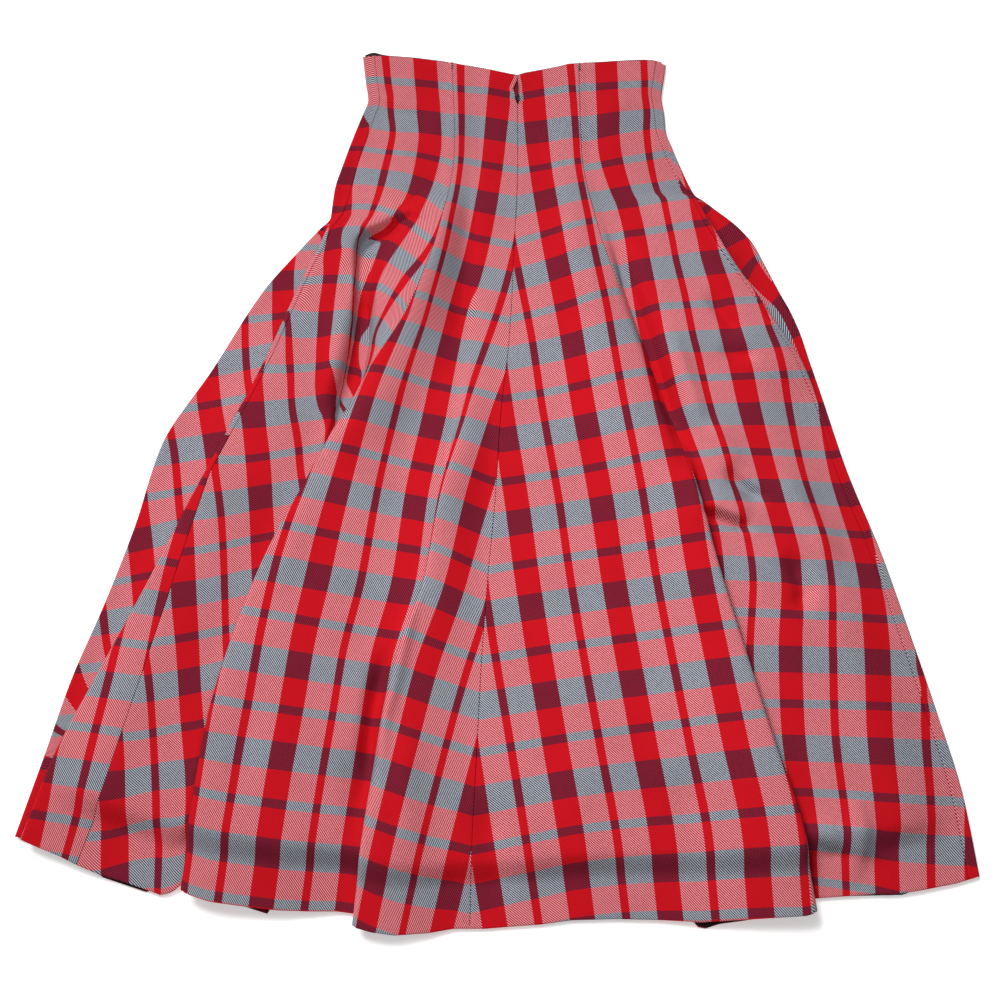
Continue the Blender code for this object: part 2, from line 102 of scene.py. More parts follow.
@dataclass(frozen=True)
class Line:
    """Edge of the laid-out cloth from waist to hem, with rows of place, x and y."""

    rows: Rows

    def at(self, row: float) -> np.ndarray:
        """Returns the plan point at a row."""
        return np.array([read_table(self.rows, row, 1), read_table(self.rows, row, 2)])


@dataclass(frozen=True)
class Chart:
    """Where the checks fall on a panel: rows of place, warp counts and weft counts across it.

    Warp counts are whole on a wide red stripe and half on a narrow one, weft counts the same on the
    navy bands. Both are spread evenly from the panel's inner edge to its outer edge.
    """

    rows: tuple[tuple[float, tuple[float, ...], tuple[float, ...]], ...]

    def read(self, share: np.ndarray, row: float) -> np.ndarray:
        """Reads warp and weft counts.

        Args:
            share: places across the panel, 0 at its inner edge and 1 at its outer edge.
            row: place from waist to hem.

        Returns:
            One (warp, weft) pair for each place.
        """
        places = [r[0] for r in self.rows]
        table = np.array([r[1] + r[2] for r in self.rows], float)
        i = int(np.clip(np.searchsorted(places, row, side="right") - 1, 0, len(places) - 2))
        h = places[i + 1] - places[i]
        t = (row - places[i]) / h
        before = (table[i] - table[i - 1]) / (places[i] - places[i - 1]) if i > 0 else None
        here = (table[i + 1] - table[i]) / h
        after = ((table[i + 2] - table[i + 1]) / (places[i + 2] - places[i + 1])
                 if i + 2 < len(places) else None)
        start = here if before is None else self._level(before, here)
        end = here if after is None else self._level(here, after)
        if 0 <= t <= 1:
            knots = ((2 * t**3 - 3 * t**2 + 1) * table[i] + (t**3 - 2 * t**2 + t) * h * start
                     + (3 * t**2 - 2 * t**3) * table[i + 1] + (t**3 - t**2) * h * end)
        else:
            knots = table[i] + here * h * t
        inside = np.clip(share, 0, 1)
        made = []
        for values in np.split(knots, [len(self.rows[0][1])]):
            fit = np.polyfit(np.linspace(0, 1, len(values)), values, len(values) - 1)
            slope = np.polyder(fit)
            made.append(np.polyval(fit, inside) + np.polyval(slope, inside) * (share - inside))
        return np.stack(made, -1)

    @staticmethod
    def _level(before: np.ndarray, after: np.ndarray) -> np.ndarray:
        """Returns the slope at a row, kept from overshooting beside a sudden change."""
        mean = 0.5 * (before + after)
        steep = 2.5 * np.minimum(np.abs(before), np.abs(after))
        return np.clip(mean, -steep, steep)


@dataclass(frozen=True)
class Pleat:
    """Z-fold between two panels, as rows of place, roll radius and degrees, shoulder, bend
    degrees, depth and heel radius. The roll ends at a seam where `seam` says so."""

    name: str
    rows: Rows
    seam: bool = False
    columns: tuple[int, ...] = (8, 9, 5, 8, 8)      # of roll, shoulder, bend, depth and heel

    def path(self, row: float) -> tuple[np.ndarray, np.ndarray, float]:
        """Works out the fold seen end on.

        Args:
            row: place from waist to hem.

        Returns:
            Run outwards and drop of each column, and how far inside the edge it starts.
        """
        roll_r, roll_deg, shoulder, bend_deg, depth, heel_r = (
            read_table(self.rows, row, column) for column in range(1, 7))
        roll, bend = math.radians(roll_deg), math.radians(bend_deg)
        steps = ((roll_r * roll, roll), (shoulder, 0.0), (0.15 * shoulder + 6 * bend + 1e-4, bend),
                 (depth, 0.0), (heel_r * (roll + bend), -(roll + bend)))
        run, drop, heading = [0.0], [0.0], 0.0
        for (length, turn), count in zip(steps, self.columns):
            for _ in range(count):
                part, middle = length / count, heading + 0.5 * turn / count
                half = 0.5 * turn / count
                chord = part * (math.sin(half) / half if half else 1.0)
                run.append(run[-1] + chord * math.cos(middle))
                drop.append(drop[-1] + chord * math.sin(middle))
                heading += turn / count
        start = roll_r * math.sin(min(roll, 0.5 * math.pi))
        return np.array(run) - start, np.array(drop), start


class Seam(Enum):
    """How a panel is split near its outer edge by the side seam."""

    NONE = 0
    SHARED = 1      # at a share of the panel that changes from waist to hem
    EDGE = 2        # just inside the outer edge


@dataclass(frozen=True)
class Panel:
    """Stretch of cloth between two edges."""

    inner: Line
    outer: Line
    rise: Rows
    hem: Rows
    columns: int
    chart: Chart
    step: tuple[float, float] = (0.0, 0.0)
    seam: Seam = Seam.NONE
    beyond: Optional[Chart] = None      # chart of the cloth past the side seam

    def ends(self, row: float) -> tuple[np.ndarray, np.ndarray]:
        """Returns the inner and outer plan points at a row."""
        sink = max(0.0, (row - 0.6) / 0.4) ** 2
        return self.inner.at(row) + np.array(self.step) * sink, self.outer.at(row)

    def width(self, row: float) -> float:
        """Returns the distance between the two edges at a row."""
        inner, outer = self.ends(row)
        return float(np.linalg.norm(outer - inner))

    def points(self, share: np.ndarray, row: float) -> np.ndarray:
        """Places shares of the panel in plan, with the waist and hem edges bowed as cut."""
        inner, outer = self.ends(row)
        placed = inner + (outer - inner) * np.asarray(share)[:, None]
        clamped = np.clip(share, 0, 1)
        for weight, edge, end_row in (((1 - row) ** 8, WAIST_EDGE, 0.0), (row ** 8, self.hem, 1.0)):
            if weight < 1e-4:
                continue
            a, b = self.ends(end_row)
            ends = a + (b - a) * clamped[:, None]
            xs, ys = zip(*edge)
            placed[:, 1] += weight * (np.interp(ends[:, 0], xs, ys) - ends[:, 1])
        return placed

    def height(self, share: np.ndarray, row: float) -> np.ndarray:
        """Returns the cloth's own mid-height, with its soft rise."""
        warped = np.clip(share, 0, 1) ** (math.log(0.5) / math.log(read_table(self.rise, row, 2)))
        return BACK_Z + read_table(self.rise, row, 1) * np.sin(np.pi * warped) ** 2


def walk(path: tuple[tuple[float, ...], ...], x: np.ndarray,
         y: np.ndarray) -> tuple[np.ndarray, np.ndarray, float]:
    """Finds where points lie beside a bent line.

    Args:
        path: the line's corners.
        x: first coordinates of the points.
        y: second coordinates of the points.

    Returns:
        Distance from the line, more than 0 on its right, run along it, and its whole length.
    """
    spots = np.array(path, float)
    ways = np.diff(spots, axis=0)
    lengths = np.linalg.norm(ways, axis=1)
    gap, run, side = np.full(len(x), np.inf), np.zeros(len(x)), np.ones(len(x))
    for start, way, length, before in zip(spots, ways, lengths, np.cumsum(lengths) - lengths):
        ux, uy = way / length
        along = np.clip((x - start[0]) * ux + (y - start[1]) * uy, 0, length)
        dx, dy = x - start[0] - along * ux, y - start[1] - along * uy
        near = np.hypot(dx, dy) < gap
        gap = np.where(near, np.hypot(dx, dy), gap)
        run = np.where(near, before + along, run)
        side = np.where(near, np.where(dx * uy - dy * ux < 0, -1, 1), side)
    return gap * side, run, float(lengths.sum())


@dataclass(frozen=True)
class Crease:
    """Soft ridge or trough along a bent line of the plan, which fades at its ends and sides."""

    path: tuple[tuple[float, float], ...]
    height: float
    width: float
    lean: float = 0.0       # 1 is steep on the right of the way along the path, -1 on the left

    def lift(self, x: np.ndarray, y: np.ndarray) -> np.ndarray:
        """Returns the height that the crease adds at each plan point."""
        gap, run, total = walk(self.path, x, y)
        fade = np.clip(np.minimum(run, total - run) / (0.35 * total), 0, 1)
        width = self.width * (1 - 0.6 * self.lean * np.sign(gap))
        return self.height * fade * fade * (3 - 2 * fade) * np.exp(-((gap / width) ** 2))


@dataclass(frozen=True)
class Tuck:
    """Line at which the cloth on its right overlaps the cloth on its left, as rows of x, y, warp
    repeats hidden on the right, the same on the left, and height of the step."""

    rows: Rows
    reach: float = 17.0     # how far to each side the cloth makes up for the hidden stretch
    slope: float = 22.0     # how far to each side the step levels out
    edge: float = 1.6       # half the width of the wall

    def add(self, x: np.ndarray, y: np.ndarray) -> tuple[np.ndarray, np.ndarray]:
        """Returns the height and the warp count that the tuck adds at each plan point."""
        gap, run, _ = walk(tuple(row[:2] for row in self.rows), x, y)
        lengths = [math.dist(a[:2], b[:2]) for a, b in zip(self.rows, self.rows[1:])]
        places = np.concatenate([[0], np.cumsum(lengths)])
        over, under, step = (np.interp(run, places, [row[k] for row in self.rows]) for k in (2, 3, 4))
        side = np.tanh(gap / self.edge)
        count = 0.5 * ((1 - side) * under - (1 + side) * over) * np.clip(
            1 - np.abs(gap) / self.reach, 0, 1)
        return 0.5 * step * side * np.clip(1 - np.abs(gap) / self.slope, 0, 1) ** 1.5, count


# Edges of the laid-out cloth: row, x, y. Most rows of these and of the waist and hem edges below were
# resampled by another script from points read by eye; the build's report says which and why it matters.
OUTLINE_LEFT = Line((
    (0, -158, 531), (.035, -153.5, 496), (.055, -150.5, 475), (.075, -156.5, 455), (.1, -165, 430),
    (.14, -177, 391), (.17, -185, 361), (.19, -187, 342), (.207, -188.5, 325), (.22, -199, 313),
    (.25, -223, 284), (.3, -259, 237), (.4, -309, 146), (.5, -359, 58), (.6, -380, -28),
    (.7, -405, -110), (.8, -433, -190), (.9, -454, -268), (1, -475, -343)))
SIDE_FOLD = Line((
    (0, -148, 527), (.035, -143.5, 492), (.055, -140.5, 472), (.075, -145.5, 452), (.1, -153, 427),
    (.14, -165, 388), (.19, -176, 339), (.21, -184, 320),
    (.225, -191, 306), (.25, -199, 283), (.27, -208, 265), (.3, -219, 236), (.4, -253, 145), (.5, -292, 58),
    (.6, -331, -27), (.7, -367, -109), (.8, -405, -189), (.9, -441, -266), (1, -466, -343)))
PRINCESS_FOLD = Line((
    (0, -55, 518), (.1, -51, 411), (.2, -65, 308), (.3, -96, 209), (.4, -153, 114), (.5, -198, 22),
    (.6, -241, -68), (.7, -270, -154), (.8, -289, -237), (.9, -298, -317), (1, -306, -395)))
GORE_FOLD = Line((
    (0, -16, 512), (.1, -18, 402), (.2, -22, 296), (.3, -29, 194), (.4, -41, 95), (.5, -63, 0),
    (.6, -78, -91), (.7, -107, -180), (.8, -122, -265), (.9, -133, -348), (1, -141, -428)))
CENTRE_BACK = Line((
    (0, 20, 506), (.1, 20, 397), (.2, 16, 291), (.3, 11, 189), (.4, 1, 91), (.5, -5, -4), (.6, -13, -95),
    (.7, -19, -183), (.8, -23, -268), (.9, -27, -351), (1, -29, -430)))
RIGHT_FOLD = Line((
    (0, 91, 522), (.1, 92, 412), (.2, 110, 306), (.3, 143, 205), (.4, 176, 106), (.5, 203, 12),
    (.6, 224, -79), (.7, 247, -168), (.8, 269, -253), (.9, 292, -335), (1, 303, -415)))
RIGHT_SIDE = Line((
    (0, 183, 517), (.02, 179.5, 496), (.04, 176.5, 475), (.06, 179, 455), (.08, 180, 434),
    (.1, 186, 413), (.13, 197, 382), (.15, 205, 362), (.16, 211, 351), (.17, 219, 341),
    (.18, 222, 331), (.2, 230, 311), (.22, 240, 292), (.24, 250, 272), (.28, 276, 233), (.3, 287, 214),
    (.33, 302, 186), (.36, 320, 158), (.4, 336, 121), (.5, 358, 30), (.6, 387, -58), (.7, 410, -143),
    (.8, 431, -225), (.9, 449, -304), (1, 458, -381)))
OUTLINE_RIGHT = Line((
    (0, 191, 516), (.02, 187.5, 495), (.04, 184.5, 474), (.06, 187, 454), (.08, 188, 433),
    (.1, 194.5, 412), (.13, 205, 382), (.15, 213, 362), (.16, 219, 351), (.165, 227, 346),
    (.17, 233, 341), (.18, 245, 331), (.19, 257, 321), (.2, 267, 311), (.22, 281, 292), (.24, 290, 272),
    (.28, 307, 233), (.3, 316, 214), (.33, 326, 186), (.36, 333, 158), (.4, 343, 120), (.5, 366, 30),
    (.6, 395, -58), (.7, 418, -143), (.8, 439, -225), (.9, 457, -304), (1, 466, -381)))

# Share of the way from the side fold to the princess fold at which the left side seam lies
SIDE_SEAM_SHARE = ((0, .03), (.5, .03), (.6, .155), (.7, .28), (.8, .37), (.9, .40), (1, .36))

# Row from which the checks no longer match across the left side seam
SEAM_SHOWS = 0.49

SIDE_COLUMNS = (8, 3, 1, 6, 6)
LEFT_SIDE_PLEAT = Pleat("side", (
    (0, 6.0, 8, 1, 0, 1.5, 6.0), (.19, 6.0, 10, 1, 0, 1.5, 6.0), (.212, 3.2, 100, .5, 0, 1, 2.6),
    (.23, 3.2, 170, 1, 0, 3, 2.4), (.30, 3.2, 178, 1, 0, 6, 2.2), (.60, 3.2, 178, 2, 0, 14, 2.2),
    (1, 3.2, 178, 2, 0, 18, 2.2)), columns=SIDE_COLUMNS)
PRINCESS_PLEAT = Pleat("princess", (
    (0, 14, 9, 3, 3, 3, 12), (.14, 14, 9, 6, 5, 6, 12), (.19, 12, 9, 28, 18, 14, 11),
    (.25, 11, 9, 40, 32, 12, 10), (.31, 9, 9, 30, 44, 9, 9), (.355, 6, 22, 12, 44, 7, 7),
    (.385, 5, 62, 4, 30, 5, 5.5), (.43, 4.6, 134, 3, 12, 4, 4.0), (.48, 4.4, 174, 4, 3, 8, 2.6),
    (.60, 4.4, 178, 6, 0, 34, 2.4), (1, 4.4, 178, 6, 0, 84, 2.4)), True)
GORE_PLEAT = Pleat("gore", (
    (0, 30, 7, 2, 0, 2, 30), (.34, 30, 7, 2, 0, 2, 30), (.42, 7, 50, 2, 0, 2, 7),
    (.48, 4.2, 120, 2, 0, 2, 3.4), (.55, 4.0, 174, 2, 0, 5, 2.4), (.70, 4.0, 178, 2, 0, 11, 2.4),
    (1, 4.0, 178, 2, 0, 22, 2.4)))
RIGHT_PLEAT = Pleat("princess", (
    (0, 30, 6, 3, 0, 2, 30), (.40, 24, 9, 3, 0, 2, 24), (.47, 9, 34, 3, 0, 3, 9),
    (.52, 4.6, 110, 3, 0, 4, 4.0), (.57, 4.4, 172, 4, 0, 8, 2.6), (.70, 4.4, 178, 6, 0, 30, 2.4),
    (1, 4.4, 178, 6, 0, 70, 2.4)), True)
RIGHT_SIDE_PLEAT = Pleat("side", (
    (0, 5, 8, .8, 0, .8, 5), (.155, 5, 10, .8, 0, .8, 5), (.168, 3.2, 110, .5, 0, 1, 2.6),
    (.22, 3.2, 176, 1, 0, 4, 2.2), (.30, 3.2, 176, 1, 0, 4, 2.2), (.36, 3.5, 110, .8, 0, 2, 3.0),
    (.42, 5, 14, .8, 0, .8, 5), (1, 5, 8, .8, 0, .8, 5)), columns=SIDE_COLUMNS)

# How far a pleat's lower ply steps up at the hem: x, y
PRINCESS_STEP, GORE_STEP, RIGHT_STEP = (-5, 5), (-1, 12), (3, 13)

# Soft rise in the middle of a panel: row, height, place across the panel
SIDE_RISE = ((0, 0, .5), (.2, 3, .5), (.45, 2.5, .45), (1, 2, .5))
LEFT_RISE = ((0, 0, .5), (.4, 1, .5), (1, 1.5, .4))
CENTRE_RISE = ((0, 0, .5), (1, 0.5, .5))
VALLEY_RISE = ((0, 0, .8), (.15, 2, .7), (.3, 7, .72), (.45, 7, .72), (.6, 2, .6), (1, 1, .5))
BULGE_RISE = ((0, 0, .3), (.15, 3, .3), (.3, 8, .3), (.48, 8, .3), (.58, 2, .3), (1, 1.5, .5))

# Air between the plies away from the outline: row, height
LOFT = ((0, 0), (.06, 1), (.16, 4), (.35, 7), (.6, 8), (.84, 13), (.918, 14), (.952, 1.5), (1, 0))

# How far the two sides of the centre seam stand open beside the zip: y, left side, right side
ZIP_GAPE = ((468, 0, 0), (471, -1.2, 1.8), (475, -2.6, 2.6), (481, -2.8, 1.4), (484, -3.6, 1.2),
            (488, -4.9, 1.4), (491, -3.8, 1.4), (495, -2.2, 1.0), (500, -.4, .3), (503, 0, 0))

# Waist and hem edges of the upper plies: x, y
WAIST_EDGE = ((-158, 530), (-134, 532), (-99, 529), (-71, 525), (-50, 521), (-14, 514), (11, 508),
              (20, 506), (28, 509), (52, 514), (69, 518), (79, 521), (110, 523), (141, 525),
              (175, 526), (183, 524), (189, 520), (191, 516))
HEM_LEFT_SIDE = ((-475, -343), (-449, -354), (-426, -363), (-410, -371), (-388, -380), (-363, -387),
                 (-342, -394), (-328, -399), (-317, -396), (-311, -390))
HEM_LEFT = ((-306, -395), (-294, -400), (-278, -405), (-248, -409), (-214, -413), (-183, -414),
            (-157, -414), (-142, -416))
HEM_CENTRE = ((-141, -428), (-123, -433), (-101, -436), (-69, -434), (-45, -430), (-15, -430),
              (11, -428), (40, -426), (70, -422), (114, -421), (156, -422), (193, -424), (243, -421),
              (292, -418), (303, -415))
HEM_RIGHT = ((306, -402), (362, -398), (383, -398), (405, -395), (443, -388), (466, -381))
HEM_FRONT = ((-475, -343), (-449, -351), (-426, -360), (-392, -378), (-386, -382), (-345, -395),
             (-338, -393), (-311, -388), (-294, -397), (-248, -405), (-183, -410), (-142, -412),
             (-100, -428), (-60, -426), (0, -424), (70, -418), (156, -418), (186, -421), (192, -428),
             (199, -429), (212, -425), (236, -422), (254, -419), (296, -412), (306, -401),
             (340, -399), (392, -398), (405, -392), (443, -385), (466, -381))

# Checks: row, warp counts across the panel, weft counts across it. Most of these counts are the
# rounded results of a fit that another script made, and not values chosen here; see the build's report.
CENTRE_LEFT_CHART = Chart((
    (0, (-.18, 0, .2), (.22, .2)), (.2, (-.48, -.24, 0), (2.48, 2.5)), (.4, (-.98, -.74, -.45), (4.7, 4.77)),
    (.6, (-1.42, -1, -.55), (6.68, 6.9)), (.8, (-1.92, -1.28, -.62), (8.54, 8.82)),
    (1, (-2.33, -1.62, -.8), (10.3, 10.55))))
GORE_LEFT_CHART = Chart((
    (0, (.22, .4, .6), (.2, .14)), (.1, (.12, .37, .61), (1.38, 1.3)), (.2, (-.05, .29, .69), (2.52, 2.48)),
    (.3, (-.25, .22, .92), (3.64, 3.62)), (.4, (-.3, .37, 1.24), (4.74, 4.78)),
    (.6, (-.24, .72, 1.67), (6.86, 6.88)), (.8, (-.12, .94, 1.91), (8.82, 8.77)),
    (1, (-.07, .94, 1.94), (10.56, 10.56))))
SIDE_LEFT_CHART = Chart((
    (0, (.68, .9, 1.14, 1.39, 1.62), (.2, .18, .17, .17)),
    (.055, (.69, .91, 1.14, 1.39, 1.64), (.77, .77, .75, .77)),
    (.1, (.69, .96, 1.24, 1.54, 1.86), (1.24, 1.26, 1.23, 1.26)),
    (.16, (.6, .94, 1.26, 1.57, 1.87), (1.92, 2.06, 2.12, 2.12)),
    (.22, (.48, .84, 1.14, 1.56, 2.08), (2.44, 2.65, 2.86, 2.78)),
    (.28, (.35, .66, 1.2, 1.87, 2.25), (3.14, 3.42, 3.48, 3.37)),
    (.33, (.24, .72, 1.55, 2.14, 2.42), (3.78, 4.02, 3.93, 3.86)),
    (.38, (.64, 1.43, 2.05, 2.4, 2.73), (4.57, 4.52, 4.38, 4.3)),
    (.43, (1.7, 2.12, 2.41, 2.69, 2.94), (5.16, 5, 4.83, 4.7)),
    (.5, (2.39, 2.63, 2.88, 3.12, 3.35), (5.84, 5.64, 5.44, 5.31)),
    (.6, (2.97, 3.19, 3.43, 3.66, 3.88), (6.78, 6.58, 6.37, 6.2)),
    (.7, (3.42, 3.64, 3.86, 4.06, 4.24), (7.67, 7.49, 7.31, 7.15)),
    (.85, (3.97, 4.2, 4.43, 4.67, 4.89), (8.94, 8.82, 8.65, 8.5)),
    (1, (4.2, 4.56, 4.87, 5.13, 5.39), (10.2, 10.16, 9.97, 9.78))))
FRONT_LEFT_CHART = Chart((
    (.5, (2.9, 2.95), (4.98, 5)), (.65, (2.98, 3.25), (6.54, 6.48)), (.8, (3.18, 3.66), (8.07, 7.93)),
    (1, (3.33, 4.15), (9.93, 9.78))))
EDGE_LEFT_CHART = Chart((
    (0, (1.64, 1.7), (.17, .17)), (.055, (1.66, 1.75), (.77, .76)), (.1, (1.9, 2), (1.26, 1.25)),
    (.16, (1.9, 2.02), (2.12, 2.1)),
    (.2, (2, 2.1), (2.56, 2.54)), (.215, (2.05, 2.12), (2.7, 2.68)), (.216, (1.5, 1.56), (2.2, 2.2)),
    (.24, (1.52, 1.75), (2.46, 2.44)), (.3, (1.78, 2.26), (3.16, 3.14)),
    (.4, (2.28, 2.92), (4.16, 4.04)), (.5, (2.92, 3.64), (5, 4.92)),
    (.6, (3.5, 4.03), (5.9, 5.8)), (.8, (4.7, 5), (7.62, 7.6)), (.85, (5.2, 5.4), (7.9, 7.88)),
    (.9, (5.84, 5.88), (8.46, 8.45)), (.93, (5.93, 5.98), (8.62, 8.6)), (1, (6, 6.02), (8.83, 8.82))))
CENTRE_RIGHT_CHART = Chart((
    (0, (-.18, .22, .61), (.2, .2, .16)), (.1, (-.27, .14, .57), (1.33, 1.3, 1.28)),
    (.2, (-.48, .06, .62), (2.52, 2.59, 2.66)), (.4, (-1.02, 0, 1.02), (4.69, 4.76, 4.87)),
    (.6, (-1.47, -.12, 1.26), (6.68, 6.79, 6.86)), (.8, (-1.9, -.23, 1.44), (8.54, 8.7, 8.79)),
    (1, (-2.29, -.32, 1.62), (10.31, 10.54, 10.53))))
SIDE_RIGHT_CHART = Chart((
    (0, (.65, 1.17, 1.7), (.2, .17)), (.04, (.65, 1.13, 1.63), (.6, .65)),
    (.08, (.65, 1.15, 1.66), (1, 1.14)), (.1, (.65, 1.18, 1.72), (1.2, 1.38)),
    (.2, (.55, 1.29, 2.1), (2.4, 2.49)), (.3, (.79, 1.65, 2.55), (3.55, 3.57)),
    (.4, (.96, 1.94, 2.83), (4.74, 4.69)), (.5, (.93, 2.02, 3), (5.92, 5.7)),
    (.6, (1.07, 2.09, 3.14), (7.04, 6.71)), (.7, (1.44, 2.42, 3.29), (7.97, 7.66)),
    (.85, (1.86, 2.84, 3.67), (9.35, 9.02)), (1, (2.11, 3.09, 3.93), (10.7, 10.28))))
EDGE_RIGHT_CHART = Chart((
    (0, (1.7, 1.79), (.17, .17)), (.04, (1.63, 1.72), (.65, .65)), (.08, (1.67, 1.77), (1.14, 1.14)),
    (.1, (1.72, 1.83), (1.38, 1.38)), (.165, (1.9, 1.98), (2.12, 2.12)),
    (.166, (3, 2.95), (2.2, 2.3)), (.18, (3, 2.88), (2.45, 2.66)), (.21, (3.06, 2.85), (2.88, 3.15)),
    (.24, (3.16, 2.8), (3.26, 3.58)), (.27, (3.22, 2.84), (3.56, 3.8)), (.3, (3.28, 3.02), (3.86, 3.98)),
    (.36, (3.18, 3.06), (4.28, 4.34)), (.44, (2.96, 3.02), (5.1, 5.12)),
    (.6, (3.12, 3.21), (6.72, 6.73)), (.8, (3.56, 3.64), (8.58, 8.57)), (1, (3.95, 4.04), (10.27, 10.24))))

# Ridges and troughs of the cloth: path, height, width and lean
CREASES: tuple[Crease, ...] = (
    # overlapping step across the left ridge, and the valley that runs down from it
    Crease(((-79, 321), (-98, 330), (-115, 328), (-133, 319), (-151, 310), (-163, 299), (-166, 279),
            (-166, 220)), 3, 11),
    Crease(((-84, 310), (-100, 317), (-114, 314), (-126, 305), (-140, 295), (-150, 286), (-152, 270),
            (-152, 242)), -6, 9),
    Crease(((-163, 239), (-167, 203), (-169, 177), (-173, 154), (-178, 128), (-182, 106), (-188, 72)), 8, 14),
    Crease(((-149, 243), (-150, 220), (-150, 196), (-151, 173), (-155, 151), (-160, 130), (-165, 109),
            (-169, 91), (-177, 60)), -24, 15),
    Crease(((-161, 408), (-166, 375), (-172, 355), (-175, 338)), -4, 5),
    # soft valley above the right fold, with the bulge beside it
    Crease(((118, 329), (140, 237), (162, 165), (175, 112), (186, 73), (194, 42), (203, 12)), -16, 9, .3),
    Crease(((176, 196), (194, 140), (207, 92), (216, 52)), 8, 14, -.3),
    # dents of the right side gore
    Crease(((203, -4), (216, -9), (230, -14), (246, -22), (262, -26)), 6, 9, .9),
    Crease(((203, -15), (219, -20), (235, -26), (250, -32), (266, -36)), -11, 5),
    Crease(((232, 34), (246, 18), (262, 4), (284, -5)), -10, 7, -.4),
    Crease(((214, 84), (232, 52), (248, 22)), 6, 12, .5),
    Crease(((284, 34), (307, -2), (328, -38), (346, -84)), 6, 12, .6),
    Crease(((290, -58), (304, -76), (312, -100), (302, -128)), -9, 10),
    Crease(((224, 236), (240, 204), (262, 178)), -6, 8),
    Crease(((230, 166), (253, 158), (280, 156)), -5, 7),
    # edge of the back where the front comes round beside it
    Crease(((206, 352), (217, 334), (229, 312), (240, 290), (252, 264), (268, 236)), 5, 8, .8),
    Crease(((222, 346), (232, 326), (243, 304), (255, 280)), -4, 5),
    # waves near the hem on the right
    Crease(((292, -330), (322, -350), (348, -356), (386, -360)), 6, 13, .8),
    Crease(((343, -296), (351, -334), (348, -366), (338, -392)), 5, 10, -.3),
    # rolled rim of the fold inside the left gore, and the hollow beside it
    Crease(((-77, -68), (-87, -110), (-96, -156), (-106, -202), (-115, -231), (-117, -271), (-119, -309)),
           6, 7),
    Crease(((-112, -150), (-119, -180), (-125, -215), (-129, -250), (-131, -290), (-134, -330)), -15, 9),
    # hollow of the side gore beside the left fold, and the soft ridge next to it
    Crease(((-190, 20), (-214, -60), (-240, -130)), 3, 16),
    # waist, where the cloth pulls from the left side seam
    Crease(((-150, 470), (-116, 458), (-76, 446)), -2.5, 6),
    Crease(((-150, 480), (-118, 470), (-84, 461)), 2, 6),
    Crease(((190, 470), (160, 462), (128, 458)), -2, 6),
    Crease(((-166, 380), (-173, 362), (-181, 346), (-184, 322)), -3, 6),
    # soft waves of the centre-left gores towards the hem
    Crease(((-150, -250), (-142, -300), (-140, -360)), -5, 12),
    Crease(((-236, -160), (-250, -260), (-262, -340)), -3, 16),
    Crease(((-90, -230), (-92, -300), (-84, -380)), 4, 14),
    Crease(((60, -250), (72, -330), (90, -400)), 3, 20),
    Crease(((-20, -300), (-10, -360), (4, -408)), -4, 14),
    Crease(((170, -270), (186, -340), (200, -396)), -3, 16),
    # soft folds of the front below, on the other side
    Crease(((-60, 380), (-110, 120), (-190, -200)), 0.6, 20),
    Crease(((120, 360), (180, 60), (260, -240)), 0.6, 22),
)

# Overlap at the left hip: x, y, repeats hidden on the right and on the left, height of the step
TUCK = Tuck((
    (-84, 316, 0, 0, 3), (-100, 323, 0, 0, 8), (-115, 320, 0, .05, 11), (-129, 311, 0, .12, 13),
    (-146, 303, 0, .3, 14), (-155, 294, .05, .3, 13), (-158, 282, .15, .2, 11), (-158, 268, .17, .18, 11),
    (-158, 235, .17, .17, 17), (-158, 205, .2, .2, 23), (-159, 178, .28, .28, 26),
    (-163, 155, .32, .32, 26), (-168, 132, .3, .3, 22), (-173, 110, .2, .2, 15), (-177, 85, .1, .1, 10),
    (-183, 57, 0, 0, 5), (-194, 18, 0, 0, 0)))


def front_edge(x: np.ndarray, at_waist: bool) -> np.ndarray:
    """Works out the cut edge of the front, which shows past the back in a few places.

    Args:
        x: places across the skirt.
        at_waist: whether the waist edge is meant, and not the hem.

    Returns:
        The edge's y at each place.
    """
    if not at_waist:
        return np.interp(x, *zip(*HEM_FRONT))
    peek = 4.6 * np.exp(-(((x + 147) / 9) ** 2))
    return np.interp(x, *zip(*WAIST_EDGE)) + np.where(x < -120, peek, 0) - FRONT_DROP


